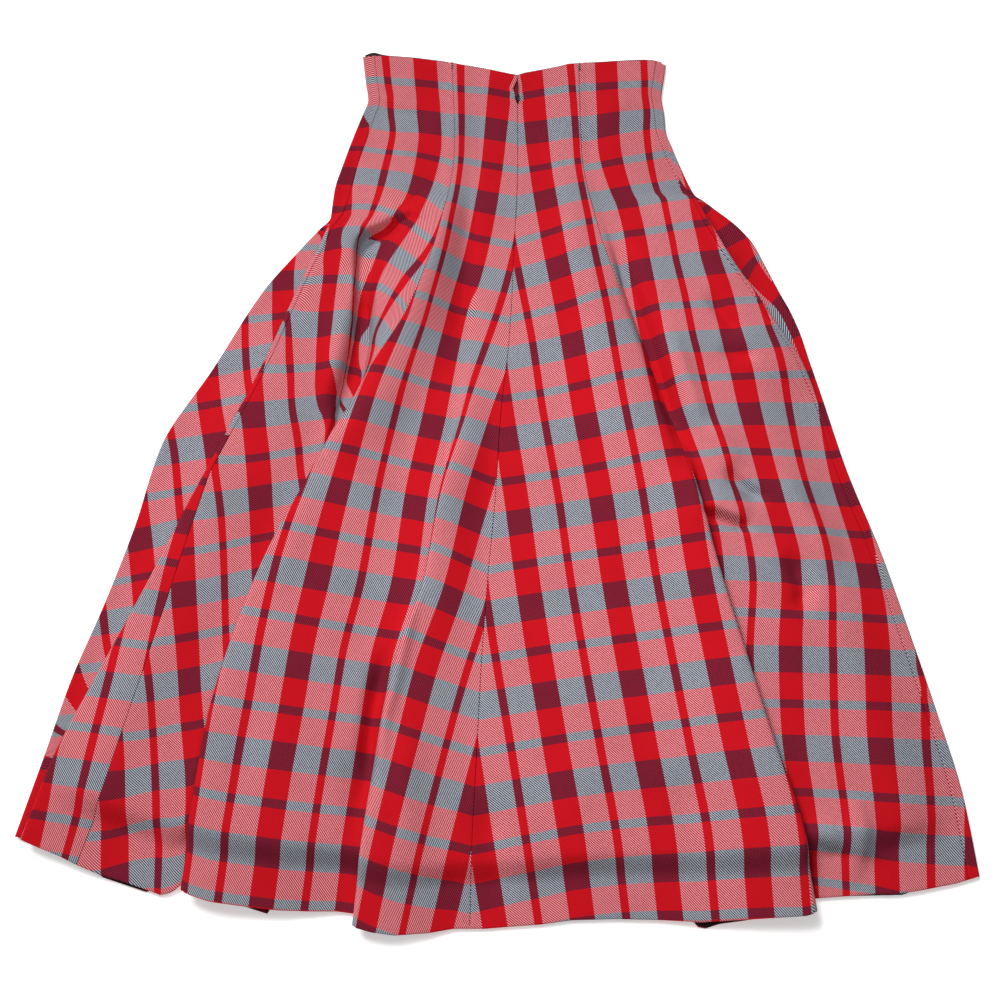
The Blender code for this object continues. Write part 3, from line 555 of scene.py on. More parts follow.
class Ring:
    """One row of the flattened skirt: its points, thread counts and the place of each seam."""

    TURN = 8                    # columns of the turn round a folded outline
    WAIST_Y = 530               # where the front's weft counts start
    LOFT_EDGE, LOFT_RUN = 6, 70     # flat margin at the outline, and the run over which the loft grows
    CUSHION = 2.0               # height over which low cloth is eased up to the floor height
    SEAM_INSET = 2.5            # least distance of the side seam from the panel's end
    BEYOND_SEAM = {Seam.SHARED: 14, Seam.EDGE: 3}   # columns past the side seam

    def __init__(self, row: float) -> None:
        """Works the row out.

        Args:
            row: place from waist (0) to hem (1).
        """
        self.row = row
        left = self._half(LEFT_PANELS, LEFT_PLEATS, -1)
        right = self._half(RIGHT_PANELS, RIGHT_PLEATS, 1)
        turned = [self._turn(half) for half in (left, right)]
        corners = np.array([x for x, _ in HEM_FRONT], float)
        shares = (corners - corners[0]) / (corners[-1] - corners[0])
        a, b = turned[0][-1], turned[1][-1]
        under = np.column_stack([self._under(a[:2], b[:2], shares), np.full(len(shares), UNDER_Z)])
        turned[0][-1], turned[1][-1] = under[0], under[-1]
        turn_threads = []
        for half, sign in ((left, -1), (right, 1)):
            run = 0.5 * math.pi * (EDGE_Z - UNDER_Z) * np.arange(1, self.TURN + 1) / self.TURN
            turn_threads.append(half["threads"][-1] + np.outer(run, (sign / WARP_REPEAT, 0)))
        under_threads = np.column_stack([-under[:, 0] / WARP_REPEAT,
                                         (self.WAIST_Y - under[:, 1]) / WEFT_REPEAT])
        parts = [left["points"], turned[0], under, turned[1][::-1], right["points"][::-1]]
        threads = [left["threads"], turn_threads[0], under_threads, turn_threads[1][::-1],
                   right["threads"][::-1]]
        self.points = np.concatenate(parts)
        self.threads = np.concatenate(threads)
        last = len(self.points) - 1
        self.marks = {"centre": 0, "end": last}
        for side, half in (("left", left), ("right", right)):
            for name, index in half["marks"].items():
                self.marks[f"{side}_{name}"] = index if side == "left" else last - index
        self.inner = {"left_princess": left["inner"], "right_princess": right["inner"]}
        relief, hidden = self._relief()
        self.points[:, 2] += relief
        self.threads[:, 0] += hidden

    def _relief(self) -> tuple[np.ndarray, np.ndarray]:
        """Returns the lift of the creases and the counts that they hide, none on the resting ply."""
        x, y, z = self.points.T
        carried = np.clip((z - UNDER_Z) / (EDGE_Z - UNDER_Z), 0, 1)
        inset = np.minimum(x - OUTLINE_LEFT.at(self.row)[0], OUTLINE_RIGHT.at(self.row)[0] - x)
        inset = np.clip((inset - self.LOFT_EDGE) / self.LOFT_RUN, 0, 1)
        lift = read_table(LOFT, self.row) * inset * inset * (3 - 2 * inset)
        for crease in CREASES:
            lift = lift + crease.lift(x, y)
        rise, hidden = TUCK.add(x, y)
        lift = lift + rise
        raised = z + lift * carried
        low = np.clip(FLOOR_Z + self.CUSHION - raised, 0, None) * (carried > 0.99)
        eased = low - self.CUSHION * (1 - np.exp(-low / self.CUSHION))
        risen = lift * carried + np.where(low > 0, eased, 0)
        return risen, hidden * (carried > 0.5)

    def _turn(self, half: dict) -> np.ndarray:
        """Returns the cloth's turn round the folded outline, down to the resting ply."""
        radius = 0.5 * (EDGE_Z - UNDER_Z)
        x, y, _ = half["points"][-1]
        angles = np.pi * np.arange(1, self.TURN + 1) / self.TURN
        return np.column_stack([x + half["out"][0] * radius * np.sin(angles),
                                y + half["out"][1] * radius * np.sin(angles),
                                0.5 * (EDGE_Z + UNDER_Z) + radius * np.cos(angles)])

    def _under(self, left: np.ndarray, right: np.ndarray, shares: np.ndarray) -> np.ndarray:
        """Returns plan points of the resting ply, from the left outline to the right one."""
        placed = left + (right - left) * shares[:, None]
        near_waist = self.row < 0.5
        end_row, weight = (0.0, (1 - self.row) ** 8) if near_waist else (1.0, self.row ** 8)
        start, stop = OUTLINE_LEFT.at(end_row), OUTLINE_RIGHT.at(end_row)
        ends = start + (stop - start) * shares[:, None]
        placed[:, 1] += weight * (front_edge(ends[:, 0], near_waist) - ends[:, 1])
        return placed

    def _half(self, panels: Sequence[Panel], pleats: Sequence[Pleat], sign: int) -> dict:
        """Works out the upper plies from the centre-back seam to one folded outline.

        Args:
            panels: stretches of cloth from the centre outwards.
            pleats: folds between them.
            sign: -1 on the left, where warp counts grow against +X, and 1 on the right.

        Returns:
            Points, threads, seam marks, the way out at the outline and the lower piece's counts at
            the princess seam.
        """
        row = self.row
        widths = [panel.width(row) for panel in panels]
        paths = [pleat.path(row) for pleat in pleats]
        starts = [0.0] + [path[0][-1] / width for path, width in zip(paths, widths[1:])]
        ends = [1 - path[2] / width for path, width in zip(paths, widths)]
        ends.append(1 - 0.5 * (EDGE_Z - UNDER_Z) / widths[-1])
        lifts, falls = [0.0] * len(panels), [1.0] * len(panels)

        def height(k: int, share: np.ndarray) -> np.ndarray:
            """Returns the mid-height of a panel, raised where it lies over a pleat."""
            sunk = np.clip((ends[k] - share) * widths[k] / falls[k], 0, 1)
            own = panels[k].height(share, row) if k < len(panels) - 1 else EDGE_Z + 0 * share
            return own + lifts[k] * (1 - sunk * sunk * (3 - 2 * sunk))

        for k in range(len(pleats) - 1, -1, -1):
            run, drop, _ = paths[k]
            hidden = max(0.0, -run[-1])
            top = float(height(k + 1, np.array([starts[k + 1]]))[0]) + drop[-1]
            lifts[k] = top - float(panels[k].height(np.array([ends[k]]), row)[0])
            falls[k] = hidden + max(6.0, min(FALL, (ends[k] - starts[k]) * widths[k] - hidden - 4.0))

        points, threads, marks, total = [], [], {}, 0
        inner_count = None
        for k, panel in enumerate(panels):
            inner, outer = panel.ends(row)
            shares = np.linspace(starts[k], ends[k], panel.columns + 1)
            seam = None
            if panel.seam is not Seam.NONE:
                spot = 1 - read_table(SIDE_SEAM_SHARE, row) if panel.seam is Seam.SHARED else 1.0
                seam = min(spot, ends[k] - self.SEAM_INSET / widths[k])
                strip = self.BEYOND_SEAM[panel.seam]
                shares = np.concatenate([np.linspace(starts[k], seam, panel.columns + 1 - strip),
                                         np.linspace(seam, ends[k], strip + 1)[1:]])
                marks["side"] = total + panel.columns - strip - (1 if k else 0)
            heights = height(k, shares)
            counts = self._counts(panel, shares, seam, sign)
            first = 1 if k else 0
            plan = panel.points(shares, row)
            points.append(np.column_stack([plan, heights])[first:])
            threads.append(counts[first:])
            total += len(shares) - first
            if k == len(pleats):
                break
            run, drop, _ = paths[k]
            across = (outer - inner) / widths[k]
            base, step = panel.points(np.array([1.0]), row)[0], panels[k + 1].ends(row)[0] - outer
            marks[pleats[k].name + "_fold"] = total - 1
            if pleats[k].seam:
                marks["princess"] = total - 1 + pleats[k].columns[0]
            along = np.arange(1, len(run))[:, None] / (len(run) - 1)
            plan = base + across * run[1:, None] + step * along
            points.append(np.column_stack([plan, heights[-1] - drop[1:]]))
            passed, own = self._fold_threads(
                pleats[k], run, drop, counts, (shares[-1] - shares[-2]) * widths[k],
                panels[k + 1], starts[k + 1], widths[k + 1], sign)
            threads.append(passed)
            inner_count = own if pleats[k].seam else inner_count
            total += len(run) - 1
        return {"points": np.concatenate(points), "threads": np.concatenate(threads), "marks": marks,
                "out": (panels[-1].ends(row)[1] - panels[-1].ends(row)[0]) / widths[-1],
                "inner": inner_count}

    def _counts(self, panel: Panel, shares: np.ndarray, seam: Optional[float],
                sign: int) -> np.ndarray:
        """Returns thread counts across a panel, with warp growing towards +X."""
        counts = panel.chart.read(shares if seam is None or panel.beyond is None else shares / seam,
                                  self.row)
        if panel.beyond is not None and seam is not None:
            past = panel.beyond.read((shares - seam) / (1 - seam), self.row)
            apart = np.clip((self.row - SEAM_SHOWS) / 0.004, 0, 1)
            counts += np.where((shares > seam + 1e-6)[:, None], past - counts, 0) * apart
        return counts * np.array((sign, 1.0))

    def _fold_threads(self, pleat: Pleat, run: np.ndarray, drop: np.ndarray, counts: np.ndarray,
                      gap: float, panel: Panel, start: float, width: float,
                      sign: int) -> tuple[np.ndarray, np.ndarray]:
        """Carries the thread counts through a pleat.

        Args:
            pleat: the fold.
            run: how far out each of its columns is.
            drop: how far down each of its columns is.
            counts: thread counts of the upper ply.
            gap: distance between the last two of its columns.
            panel: the lower ply.
            start: share at which the lower ply starts.
            width: width of the lower ply.
            sign: -1 on the left and 1 on the right.

        Returns:
            Thread counts of the pleat's columns after the first, and the lower piece's own counts
            where the pleat has a seam.
        """
        length = np.concatenate([[0], np.cumsum(np.hypot(np.diff(run), np.diff(drop)))])
        step = 2.0 / width
        seam = panel.beyond is not None and panel.seam is not Seam.NONE
        spot = self._counts(panel, np.array([start, start + step]),
                            1 - read_table(SIDE_SEAM_SHARE, self.row) if seam else None, sign)
        near, far = counts[-1], spot[0]
        near_slope, far_slope = (counts[-1] - counts[-2]) / gap, (spot[1] - spot[0]) / 2.0
        if pleat.seam:
            cut = pleat.columns[0]
            first = near + near_slope * length[1:cut + 1, None]
            second = far - far_slope * (length[-1] - length[cut:, None])
            closed = float(np.clip((self.row - 0.35) / 0.06, 0, 1))
            if closed < 1:
                open_fold = self._counts(panel, run[cut:] / width,
                                         1 - read_table(SIDE_SEAM_SHARE, self.row) if seam else None,
                                         sign)
                second = open_fold + (second - open_fold) * closed
            return np.concatenate([first, second[1:]]), second[0]
        total = length[-1]
        t = length[1:, None] / total
        return ((2 * t**3 - 3 * t**2 + 1) * near + (t**3 - 2 * t**2 + t) * total * near_slope
                + (3 * t**2 - 2 * t**3) * far + (t**3 - t**2) * total * far_slope), far


LEFT_PANELS = (
    Panel(CENTRE_BACK, GORE_FOLD, CENTRE_RISE, HEM_CENTRE, 32, CENTRE_LEFT_CHART),
    Panel(GORE_FOLD, PRINCESS_FOLD, LEFT_RISE, HEM_LEFT, 44, GORE_LEFT_CHART, GORE_STEP),
    Panel(PRINCESS_FOLD, SIDE_FOLD, SIDE_RISE, HEM_LEFT_SIDE, 56, SIDE_LEFT_CHART, PRINCESS_STEP,
          Seam.SHARED, FRONT_LEFT_CHART),
    Panel(SIDE_FOLD, OUTLINE_LEFT, CENTRE_RISE, HEM_LEFT_SIDE, 8, EDGE_LEFT_CHART))
LEFT_PLEATS = (GORE_PLEAT, PRINCESS_PLEAT, LEFT_SIDE_PLEAT)
RIGHT_PANELS = (
    Panel(CENTRE_BACK, RIGHT_FOLD, VALLEY_RISE, HEM_CENTRE, 84, CENTRE_RIGHT_CHART),
    Panel(RIGHT_FOLD, RIGHT_SIDE, BULGE_RISE, HEM_RIGHT, 56, SIDE_RIGHT_CHART, RIGHT_STEP, Seam.EDGE),
    Panel(RIGHT_SIDE, OUTLINE_RIGHT, CENTRE_RISE, HEM_RIGHT, 8, EDGE_RIGHT_CHART))
RIGHT_PLEATS = (RIGHT_PLEAT, RIGHT_SIDE_PLEAT)


class Socket:
    """Shader socket that takes part in Python arithmetic by adding Math nodes."""

    def __init__(self, tree: bpy.types.NodeTree, socket: bpy.types.NodeSocket) -> None:
        """Wraps a socket of a node tree."""
        self.tree, self.socket = tree, socket

    def _math(self, operation: str, *values: Union["Socket", float]) -> "Socket":
        """Adds one Math node and returns its result."""
        node = self.tree.nodes.new("ShaderNodeMath")
        node.operation = operation
        for slot, value in zip(node.inputs, values):
            if isinstance(value, Socket):
                self.tree.links.new(value.socket, slot)
            else:
                slot.default_value = value
        return Socket(self.tree, node.outputs[0])

    def __add__(self, other: Union["Socket", float]) -> "Socket":
        """Adds."""
        return self._math("ADD", self, other)

    def __sub__(self, other: Union["Socket", float]) -> "Socket":
        """Subtracts."""
        return self._math("SUBTRACT", self, other)

    def __rsub__(self, other: float) -> "Socket":
        """Subtracts from a number."""
        return self._math("SUBTRACT", other, self)

    def __mul__(self, other: Union["Socket", float]) -> "Socket":
        """Multiplies."""
        return self._math("MULTIPLY", self, other)

    __radd__, __rmul__ = __add__, __mul__

    def wrapped(self) -> "Socket":
        """Returns the distance to the nearest whole number."""
        return self._math("PINGPONG", self, 0.5)

    def wave(self) -> "Socket":
        """Returns a sine of one period per whole number, from -1 to 1."""
        return self._math("SINE", self * math.tau)

    def least(self, other: Union["Socket", float]) -> "Socket":
        """Returns the smaller of two."""
        return self._math("MINIMUM", self, other)

    def most(self, other: Union["Socket", float]) -> "Socket":
        """Returns the larger of two."""
        return self._math("MAXIMUM", self, other)

    def step(self, low: float, high: float) -> "Socket":
        """Returns a soft step from 0 at low to 1 at high."""
        node = self.tree.nodes.new("ShaderNodeMapRange")
        node.interpolation_type = "SMOOTHSTEP"
        self.tree.links.new(self.socket, node.inputs["Value"])
        for name, value in (("From Min", min(low, high)), ("From Max", max(low, high)),
                            ("To Min", float(low > high)), ("To Max", float(low < high))):
            node.inputs[name].default_value = value
        return Socket(self.tree, node.outputs["Result"])


Colour = tuple[float, float, float]


def linear(red: int, green: int, blue: int) -> Colour:
    """Turns a colour on the usual 0 to 255 scale into linear light."""
    made = []
    for value in (red, green, blue):
        c = value / 255
        made.append(c / 12.92 if c <= 0.04045 else ((c + 0.055) / 1.055) ** 2.4)
    return tuple(made)


class Finish:
    """Material under construction, with its Principled shader."""

    def __init__(self, name: str, roughness: float) -> None:
        """Starts a material.

        Args:
            name: the material's name.
            roughness: its roughness where nothing varies it.
        """
        self.material = bpy.data.materials.new(name)
        self.material.use_nodes = True
        self.tree = self.material.node_tree
        self.shader = self.tree.nodes["Principled BSDF"]
        self.shader.inputs["Roughness"].default_value = roughness
        self.shader.inputs["Specular IOR Level"].default_value = 0.25

    def node(self, kind: str, settings: Optional[dict] = None, **values: object) -> bpy.types.Node:
        """Adds a node.

        Args:
            kind: the node's type without "ShaderNode".
            settings: its own settings, set first.
            values: values or links of its sockets, by name with _ for a space.

        Returns:
            The node.
        """
        node = self.tree.nodes.new("ShaderNode" + kind)
        for key, value in (settings or {}).items():
            setattr(node, key, value)
        for key, value in values.items():
            slot = node.inputs[key.replace("_", " ")]
            if isinstance(value, Socket):
                self.tree.links.new(value.socket, slot)
            else:
                slot.default_value = value
        return node

    def socket(self, node: bpy.types.Node, name: str) -> Socket:
        """Returns a node's output as a Socket."""
        return Socket(self.tree, node.outputs[name])

    def threads(self) -> tuple[Socket, Socket]:
        """Returns warp and weft counts from the piece's own map."""
        uv = self.node("UVMap", {"uv_map": "threads"})
        split = self.node("SeparateXYZ", Vector=self.socket(uv, "UV"))
        return self.socket(split, "X"), self.socket(split, "Y")

    def mix(self, factor: Union[Socket, float], first: Union[Socket, Colour],
            second: Union[Socket, Colour]) -> Socket:
        """Mixes two colours."""
        node = self.tree.nodes.new("ShaderNodeMix")
        node.data_type = "RGBA"
        for index, value in ((0, factor), (6, first), (7, second)):
            slot = node.inputs[index]
            if isinstance(value, Socket):
                self.tree.links.new(value.socket, slot)
            else:
                slot.default_value = value if index == 0 else (*value, 1.0)
        return Socket(self.tree, node.outputs[2])

    def noise(self, scale: float, detail: float = 2.0, stretch: Optional[tuple] = None) -> Socket:
        """Returns a noise value from 0 to 1 on object coordinates."""
        place = self.socket(self.node("TexCoord"), "Object")
        if stretch:
            place = self.socket(self.node("Mapping", Vector=place, Scale=stretch), "Vector")
        cloud = self.node("TexNoise", Vector=place, Scale=scale, Detail=detail)
        return self.socket(cloud, "Fac")

    def link(self, value: Socket, name: str) -> None:
        """Feeds a socket of the Principled shader."""
        self.tree.links.new(value.socket, self.shader.inputs[name])

    def bump(self, height: Socket, distance: float, strength: float = 1.0) -> None:
        """Feeds a Bump node into the shader's normal."""
        node = self.node("Bump", Height=height, Distance=distance, Strength=strength)
        self.link(self.socket(node, "Normal"), "Normal")


@dataclass(frozen=True)
class TartanTwill:
    """2/2 twill in red, white and navy; a pale yarn takes some colour from the one that it crosses."""

    white_on_red: Colour = linear(252, 157, 165)
    white_on_navy: Colour = linear(191, 194, 203)
    red: Colour = linear(206, 16, 27)
    red_on_navy: Colour = linear(168, 20, 36)
    weft_red: Colour = linear(196, 18, 32)
    shaded_red: Colour = linear(146, 14, 26)    # weft between the floats of the white warp
    navy: Colour = linear(20, 34, 56)
    wide_warp: float = 0.29     # share of the warp repeat
    narrow_warp: float = 0.095
    wide_weft: float = 0.30
    narrow_weft: float = 0.097
    lines: tuple[float, float] = (36.0, 33.0)   # twill lines in a warp and a weft repeat

    def make(self) -> bpy.types.Material:
        """Builds the material."""
        finish = Finish("tartan_twill", 0.9)
        warp, weft = finish.threads()
        red_warp = self._stripes(warp, self.wide_warp, self.narrow_warp)
        navy_weft = self._stripes(weft, self.wide_weft, self.narrow_weft)
        uneven = finish.noise(260.0, 1.0)
        line = warp * self.lines[0] - weft * self.lines[1] + (uneven - 0.5) * 0.12
        wave = line.wave()
        face = wave.step(-0.5, 0.5)
        pale = finish.mix(navy_weft, self.white_on_red, self.white_on_navy)
        over = finish.mix(red_warp, pale, finish.mix(navy_weft, self.red, self.red_on_navy))
        across = finish.mix(navy_weft, finish.mix(red_warp, self.shaded_red, self.weft_red),
                            self.navy)
        cloud = finish.noise(18.0)
        fuzz = finish.noise(900.0, 1.0)
        colour = finish.mix(face, across, over)
        dirt = (cloud - 0.35).step(0.0, 0.5) * 0.08 + (fuzz - 0.4).step(0.0, 0.4) * 0.07
        finish.link(finish.mix(dirt, colour, (0.0, 0.0, 0.0)), "Base Color")
        finish.bump(wave * 0.5 + 0.5 + fuzz * 0.3, 0.00017, 0.7)
        finish.shader.inputs["Specular IOR Level"].default_value = 0.08
        return finish.material

    @staticmethod
    def _stripes(count: Socket, wide: float, narrow: float) -> Socket:
        """Returns 1 on the wide stripes at whole counts and the narrow ones at halves."""
        off = count.wrapped()
        broad = off.step(0.5 * wide + 0.004, 0.5 * wide - 0.004)
        slim = (0.5 - off).step(0.5 * narrow + 0.004, 0.5 * narrow - 0.004)
        return broad.most(slim)


@dataclass(frozen=True)
class PlainCloth:
    """Plain-woven facing or tape in one colour, with a painted highlight on its raised yarns."""

    name: str
    colour: Colour
    yarns: float = 2.2          # yarns in a millimetre

    def make(self) -> bpy.types.Material:
        """Builds the material."""
        finish = Finish(self.name, 0.85)
        warp, weft = finish.threads()
        weave = (warp * (0.5 * self.yarns)).wave() * (weft * (0.5 * self.yarns)).wave()
        cloud = finish.noise(60.0, 2.0)
        # painted highlight: the colour turns paler on the raised yarn crests of the weave, by a random amount
        pale = tuple(min(1.0, 1.7 * c + 0.004) for c in self.colour)
        finish.link(finish.mix(weave.step(-1.0, 1.0) * cloud, self.colour, pale), "Base Color")
        finish.bump(weave, 0.0001, 0.6)
        return finish.material


@dataclass(frozen=True)
class Lacquer:
    """Dark lacquer on the zip's metal, or the smooth nylon of its coil."""

    name: str
    colour: Colour
    roughness: float = 0.36
    coat: float = 0.4

    def make(self) -> bpy.types.Material:
        """Builds the material."""
        finish = Finish(self.name, self.roughness)
        worn = finish.noise(900.0, 3.0)
        light = tuple(1.4 * c + 0.002 for c in self.colour)
        finish.link(finish.mix(worn, self.colour, light), "Base Color")
        finish.link(worn * 0.2 + (self.roughness - 0.1), "Roughness")
        finish.shader.inputs["Coat Weight"].default_value = self.coat
        finish.shader.inputs["Coat Roughness"].default_value = 0.2
        return finish.material


def grid_piece(name: str, points: np.ndarray, threads: np.ndarray) -> bpy.types.Object:
    """Makes a sheet from a grid of points.

    Args:
        name: the piece's name.
        points: rows x columns x 3, in millimetres of the plan.
        threads: rows x columns x 2 thread counts. Two columns at the same points are made one,
            with each side keeping its own counts.

    Returns:
        The new object.
    """
    rows, columns = points.shape[:2]
    index = np.arange(rows * columns).reshape(rows, columns)
    faces = np.stack([index[:-1, :-1], index[:-1, 1:], index[1:, 1:], index[1:, :-1]], -1)
    doubled = [j for j in range(1, columns) if np.allclose(points[:, j], points[:, j - 1])]
    kept = np.delete(faces, [j - 1 for j in doubled], 1).reshape(-1, 4)
    merged = index.copy()
    for j in doubled:
        merged[:, j] = merged[:, j - 1]
    used, compact = np.unique(merged, return_inverse=True)
    mesh = bpy.data.meshes.new(name)
    mesh.from_pydata(to_metres(points.reshape(-1, 3)[used]).tolist(), [],
                     compact.ravel()[kept].tolist())
    layer = mesh.uv_layers.new(name="threads")
    layer.data.foreach_set("uv", threads.reshape(-1, 2)[kept.ravel()].astype(np.float32).ravel())
    mesh.shade_smooth()
    obj = bpy.data.objects.new(name, mesh)
    bpy.context.scene.collection.objects.link(obj)
    return obj


@dataclass
class ClothPieces:
    """The five pieces of checked cloth."""

    wall: float = WALL
    seam_radius: float = 0.5        # how tightly the cloth turns in at a seam
    seam_depth: float = 1.6         # allowance that shows in the groove
    hem_radius: float = 0.9
    hem_depth: float = 8.0
    faced: tuple[float, float] = (0.3, 0.3)     # the same two under a facing and at a seam
    turn_steps: int = 6             # lines across a turned edge, before the one that ends it
    # piece, CAD node, marks of its two seams, and flat width, length and area in metres
    looks: tuple[tuple[str, str, str, str, tuple[float, float, float]], ...] = (
        ("tartan_back_centre_left", "back_centre_left", "centre", "left_princess",
         (.36, .96, .204)),
        ("tartan_back_side_left", "back_side_left", "left_princess", "left_side",
         (.33, .93, .165)),
        ("tartan_front", "front", "left_side", "right_side", (1.0, .93, .74)),
        ("tartan_back_side_right", "back_side_right", "right_side", "right_princess",
         (.26, .94, .182)),
        ("tartan_back_centre_right", "back_centre_right", "right_princess", "end",
         (.42, .96, .195)),
    )
    rings: list[Ring] = field(default_factory=list)
    made: dict[str, bpy.types.Object] = field(default_factory=dict)

    def build(self) -> None:
        """Works out the rings and makes each piece from its share of them."""
        places = np.concatenate([np.linspace(0, TOP_ROWS, ROWS[0]),
                                 np.linspace(TOP_ROWS, 1, ROWS[1])[1:]])
        self.rings = [Ring(float(place)) for place in places]
        for name, node, first, last, _ in self.looks:
            points = np.stack([ring.points[ring.marks[first]:ring.marks[last] + 1]
                               for ring in self.rings])
            threads = np.stack([ring.threads[ring.marks[first]:ring.marks[last] + 1]
                                for ring in self.rings])
            if "centre" in (first, last) or "end" in (first, last):
                points = self._gape(points, 0 if first == "centre" else -1)
            for end, mark in ((0, first), (-1, last)):
                if "back_side" in name and mark in self.rings[0].inner:
                    threads[:, end] = [ring.inner[mark] for ring in self.rings]
                if name == "tartan_front":
                    near, far = (1, 2) if end == 0 else (-2, -3)
                    threads[:, end] = 2 * threads[:, near] - threads[:, far]
            points, threads = self._turn_in(points, threads, 1, self.seam_radius, self.seam_depth)
            radius, depth = (self.faced if name == "tartan_front" else
                             (self.hem_radius, self.hem_depth))
            sizes = np.repeat([[radius, depth]], points.shape[1], 0)
            seam_lines = self.turn_steps + 1
            sizes[:seam_lines] = sizes[-seam_lines:] = self.faced
            points, threads = self._turn_in(points, threads, 0, sizes[:, :1], sizes[:, 1:])
            piece = grid_piece(name, points, threads)
            shell = piece.modifiers.new("wall", "SOLIDIFY")
            shell.thickness = self.wall * MM
            shell.offset = 0.0
            self.made[node] = piece
            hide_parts(node)
            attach(piece, "skirt")
            LOG.info("%s: %d x %d", name, *points.shape[:2])

    @staticmethod
    def _gape(points: np.ndarray, end: int) -> np.ndarray:
        """Opens the seam beside the zip.

        Args:
            points: rows x columns x 3 of a centre piece.
            end: 0 for the left piece and -1 for the right one.

        Returns:
            The points with those near the seam moved aside.
        """
        places, left, right = np.array(ZIP_GAPE).T
        moved = points.copy()
        shift = np.interp(points[:, end, 1], places, left if end == 0 else right)
        away = np.abs(points[..., 0] - points[:, end, 0][:, None])
        moved[..., 0] += shift[:, None] * np.exp(-((away / 9.0) ** 2))
        moved[..., 2] += 0.35 * np.abs(shift)[:, None] * np.exp(-((away / 5.0) ** 2))
        return moved

    def _turn_in(self, points: np.ndarray, threads: np.ndarray, axis: int, radius: Size,
                 depth: Size) -> tuple[np.ndarray, np.ndarray]:
        """Turns the cloth in at both ends of an axis.

        Args:
            points: rows x columns x 3.
            threads: rows x columns x 2.
            axis: 0 to turn in waist and hem, 1 to turn in the two seams.
            radius: radius of the turn, one for all or one for each line across the edge.
            depth: how far the cloth goes on inside, in the same way.

        Returns:
            Points and threads with the turned columns or rows added.
        """
        full = math.pi if axis == 0 else 0.5 * math.pi
        p, q = (points, threads) if axis else (points.swapaxes(0, 1), threads.swapaxes(0, 1))
        across = np.gradient(p, axis=0)
        added = []
        for end, towards in ((0, 1), (-1, -2)):
            out = p[:, end] - p[:, towards]
            gap = np.linalg.norm(out, axis=1, keepdims=True)
            out = out / gap
            rate = (q[:, end] - q[:, towards]) / gap
            normal = np.cross(across[:, end], out)
            normal /= np.linalg.norm(normal, axis=1, keepdims=True) + 1e-12
            if end == 0:
                normal = -normal
            if axis == 1:
                normal = -normal
            base = p[:, end] - out * (radius + (0.5 if axis else 0.0))
            angles = np.linspace(0, full, self.turn_steps)
            steps = [(radius * math.sin(a), radius * (1 - math.cos(a)), radius * a) for a in angles]
            tail = (steps[-1][0] + depth * math.cos(full), steps[-1][1] + depth * math.sin(full),
                    steps[-1][2] + depth)
            steps.append(tail)
            made = [(base + out * run - normal * drop,
                     q[:, end] + rate * (length - radius)) for run, drop, length in steps]
            added.append(made if end else made[::-1])
        inner_p, inner_q = p[:, 1:-1], q[:, 1:-1]
        new_p = np.concatenate([np.stack([a for a, _ in added[0]], 1), inner_p,
                                np.stack([a for a, _ in added[1]], 1)], 1)
        new_q = np.concatenate([np.stack([b for _, b in added[0]], 1), inner_q,
                                np.stack([b for _, b in added[1]], 1)], 1)
        return (new_p, new_q) if axis else (new_p.swapaxes(0, 1), new_q.swapaxes(0, 1))

    def dress(self) -> None:
        """Gives every piece the tartan."""
        material = TartanTwill().make()
        for _, node, _, _, (width, length, area) in self.looks:
            piece = self.made[node]
            piece.data.materials.append(material)


@dataclass
class Facings:
    """Dark facings that lie on the inside of the front at waist and hem."""

    height: float = 1.95
    wall: float = 0.6
    waist_ends: tuple[float, float] = (-156.0, 186.0)
    waist_deep: float = 42.0
    waist_proud: float = 2.9        # how far the waist facing rolls out past the front
    waist_taper: float = 0.05       # share by which it narrows down to its lower edge
    hem_ends: tuple[float, float] = (-462.0, 456.0)
    hem_deep: float = 26.0
    hem_proud: float = 0.6
    spacing: float = 4.0

    def build(self) -> None:
        """Makes both facings."""
        material = PlainCloth("dark_facing", linear(46, 28, 34)).make()
        self._strip("dark_waist_facing", "waist_facing", self.waist_ends, self.waist_deep,
                    self.waist_proud, True, material)
        self._strip("dark_hem_facing", "hem_facing", self.hem_ends, self.hem_deep,
                    self.hem_proud, False, material)

    def _strip(self, name: str, node: str, ends: tuple[float, float], deep: float, proud: float,
               at_waist: bool, material: bpy.types.Material) -> None:
        """Makes one facing.

        Args:
            name: the piece's name.
            node: the CAD node that it stands for.
            ends: x of its two ends.
            deep: how far it reaches inwards.
            proud: how far it rolls out past the front's edge.
            at_waist: whether it lies at the waist, and not at the hem.
            material: its cloth.
        """
        taper = self.waist_taper if at_waist else 0.0
        x = np.arange(ends[0], ends[1] + 0.5 * self.spacing, self.spacing)
        x[-1] = ends[1]
        inwards = -1.0 if at_waist else 1.0
        edge = front_edge(x, at_waist) - inwards * proud
        depths = np.concatenate([[0, 0.8], np.linspace(3, deep, max(4, int(deep / 6)))])
        rows = []
        for depth in depths:
            rolled = self.height - 0.35 * math.exp(-((depth / 0.8) ** 2))
            wave = 0.12 * np.sin(x / 17.0 + depth / 9.0) * min(1.0, depth / 12.0)
            across = x * (1 - taper * depth / deep)
            rows.append(np.column_stack([across, edge + inwards * depth, rolled + wave]))
        points = np.stack(rows if not at_waist else rows[::-1])
        piece = grid_piece(name, points, points[..., :2].copy())
        piece.data.materials.append(material)
        shell = piece.modifiers.new("wall", "SOLIDIFY")
        shell.thickness = self.wall * MM
        shell.offset = 0.0
        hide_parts(node)
        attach(piece, "skirt")
        LOG.info("%s: %.0f mm long, %.0f mm deep", name, ends[1] - ends[0], deep)


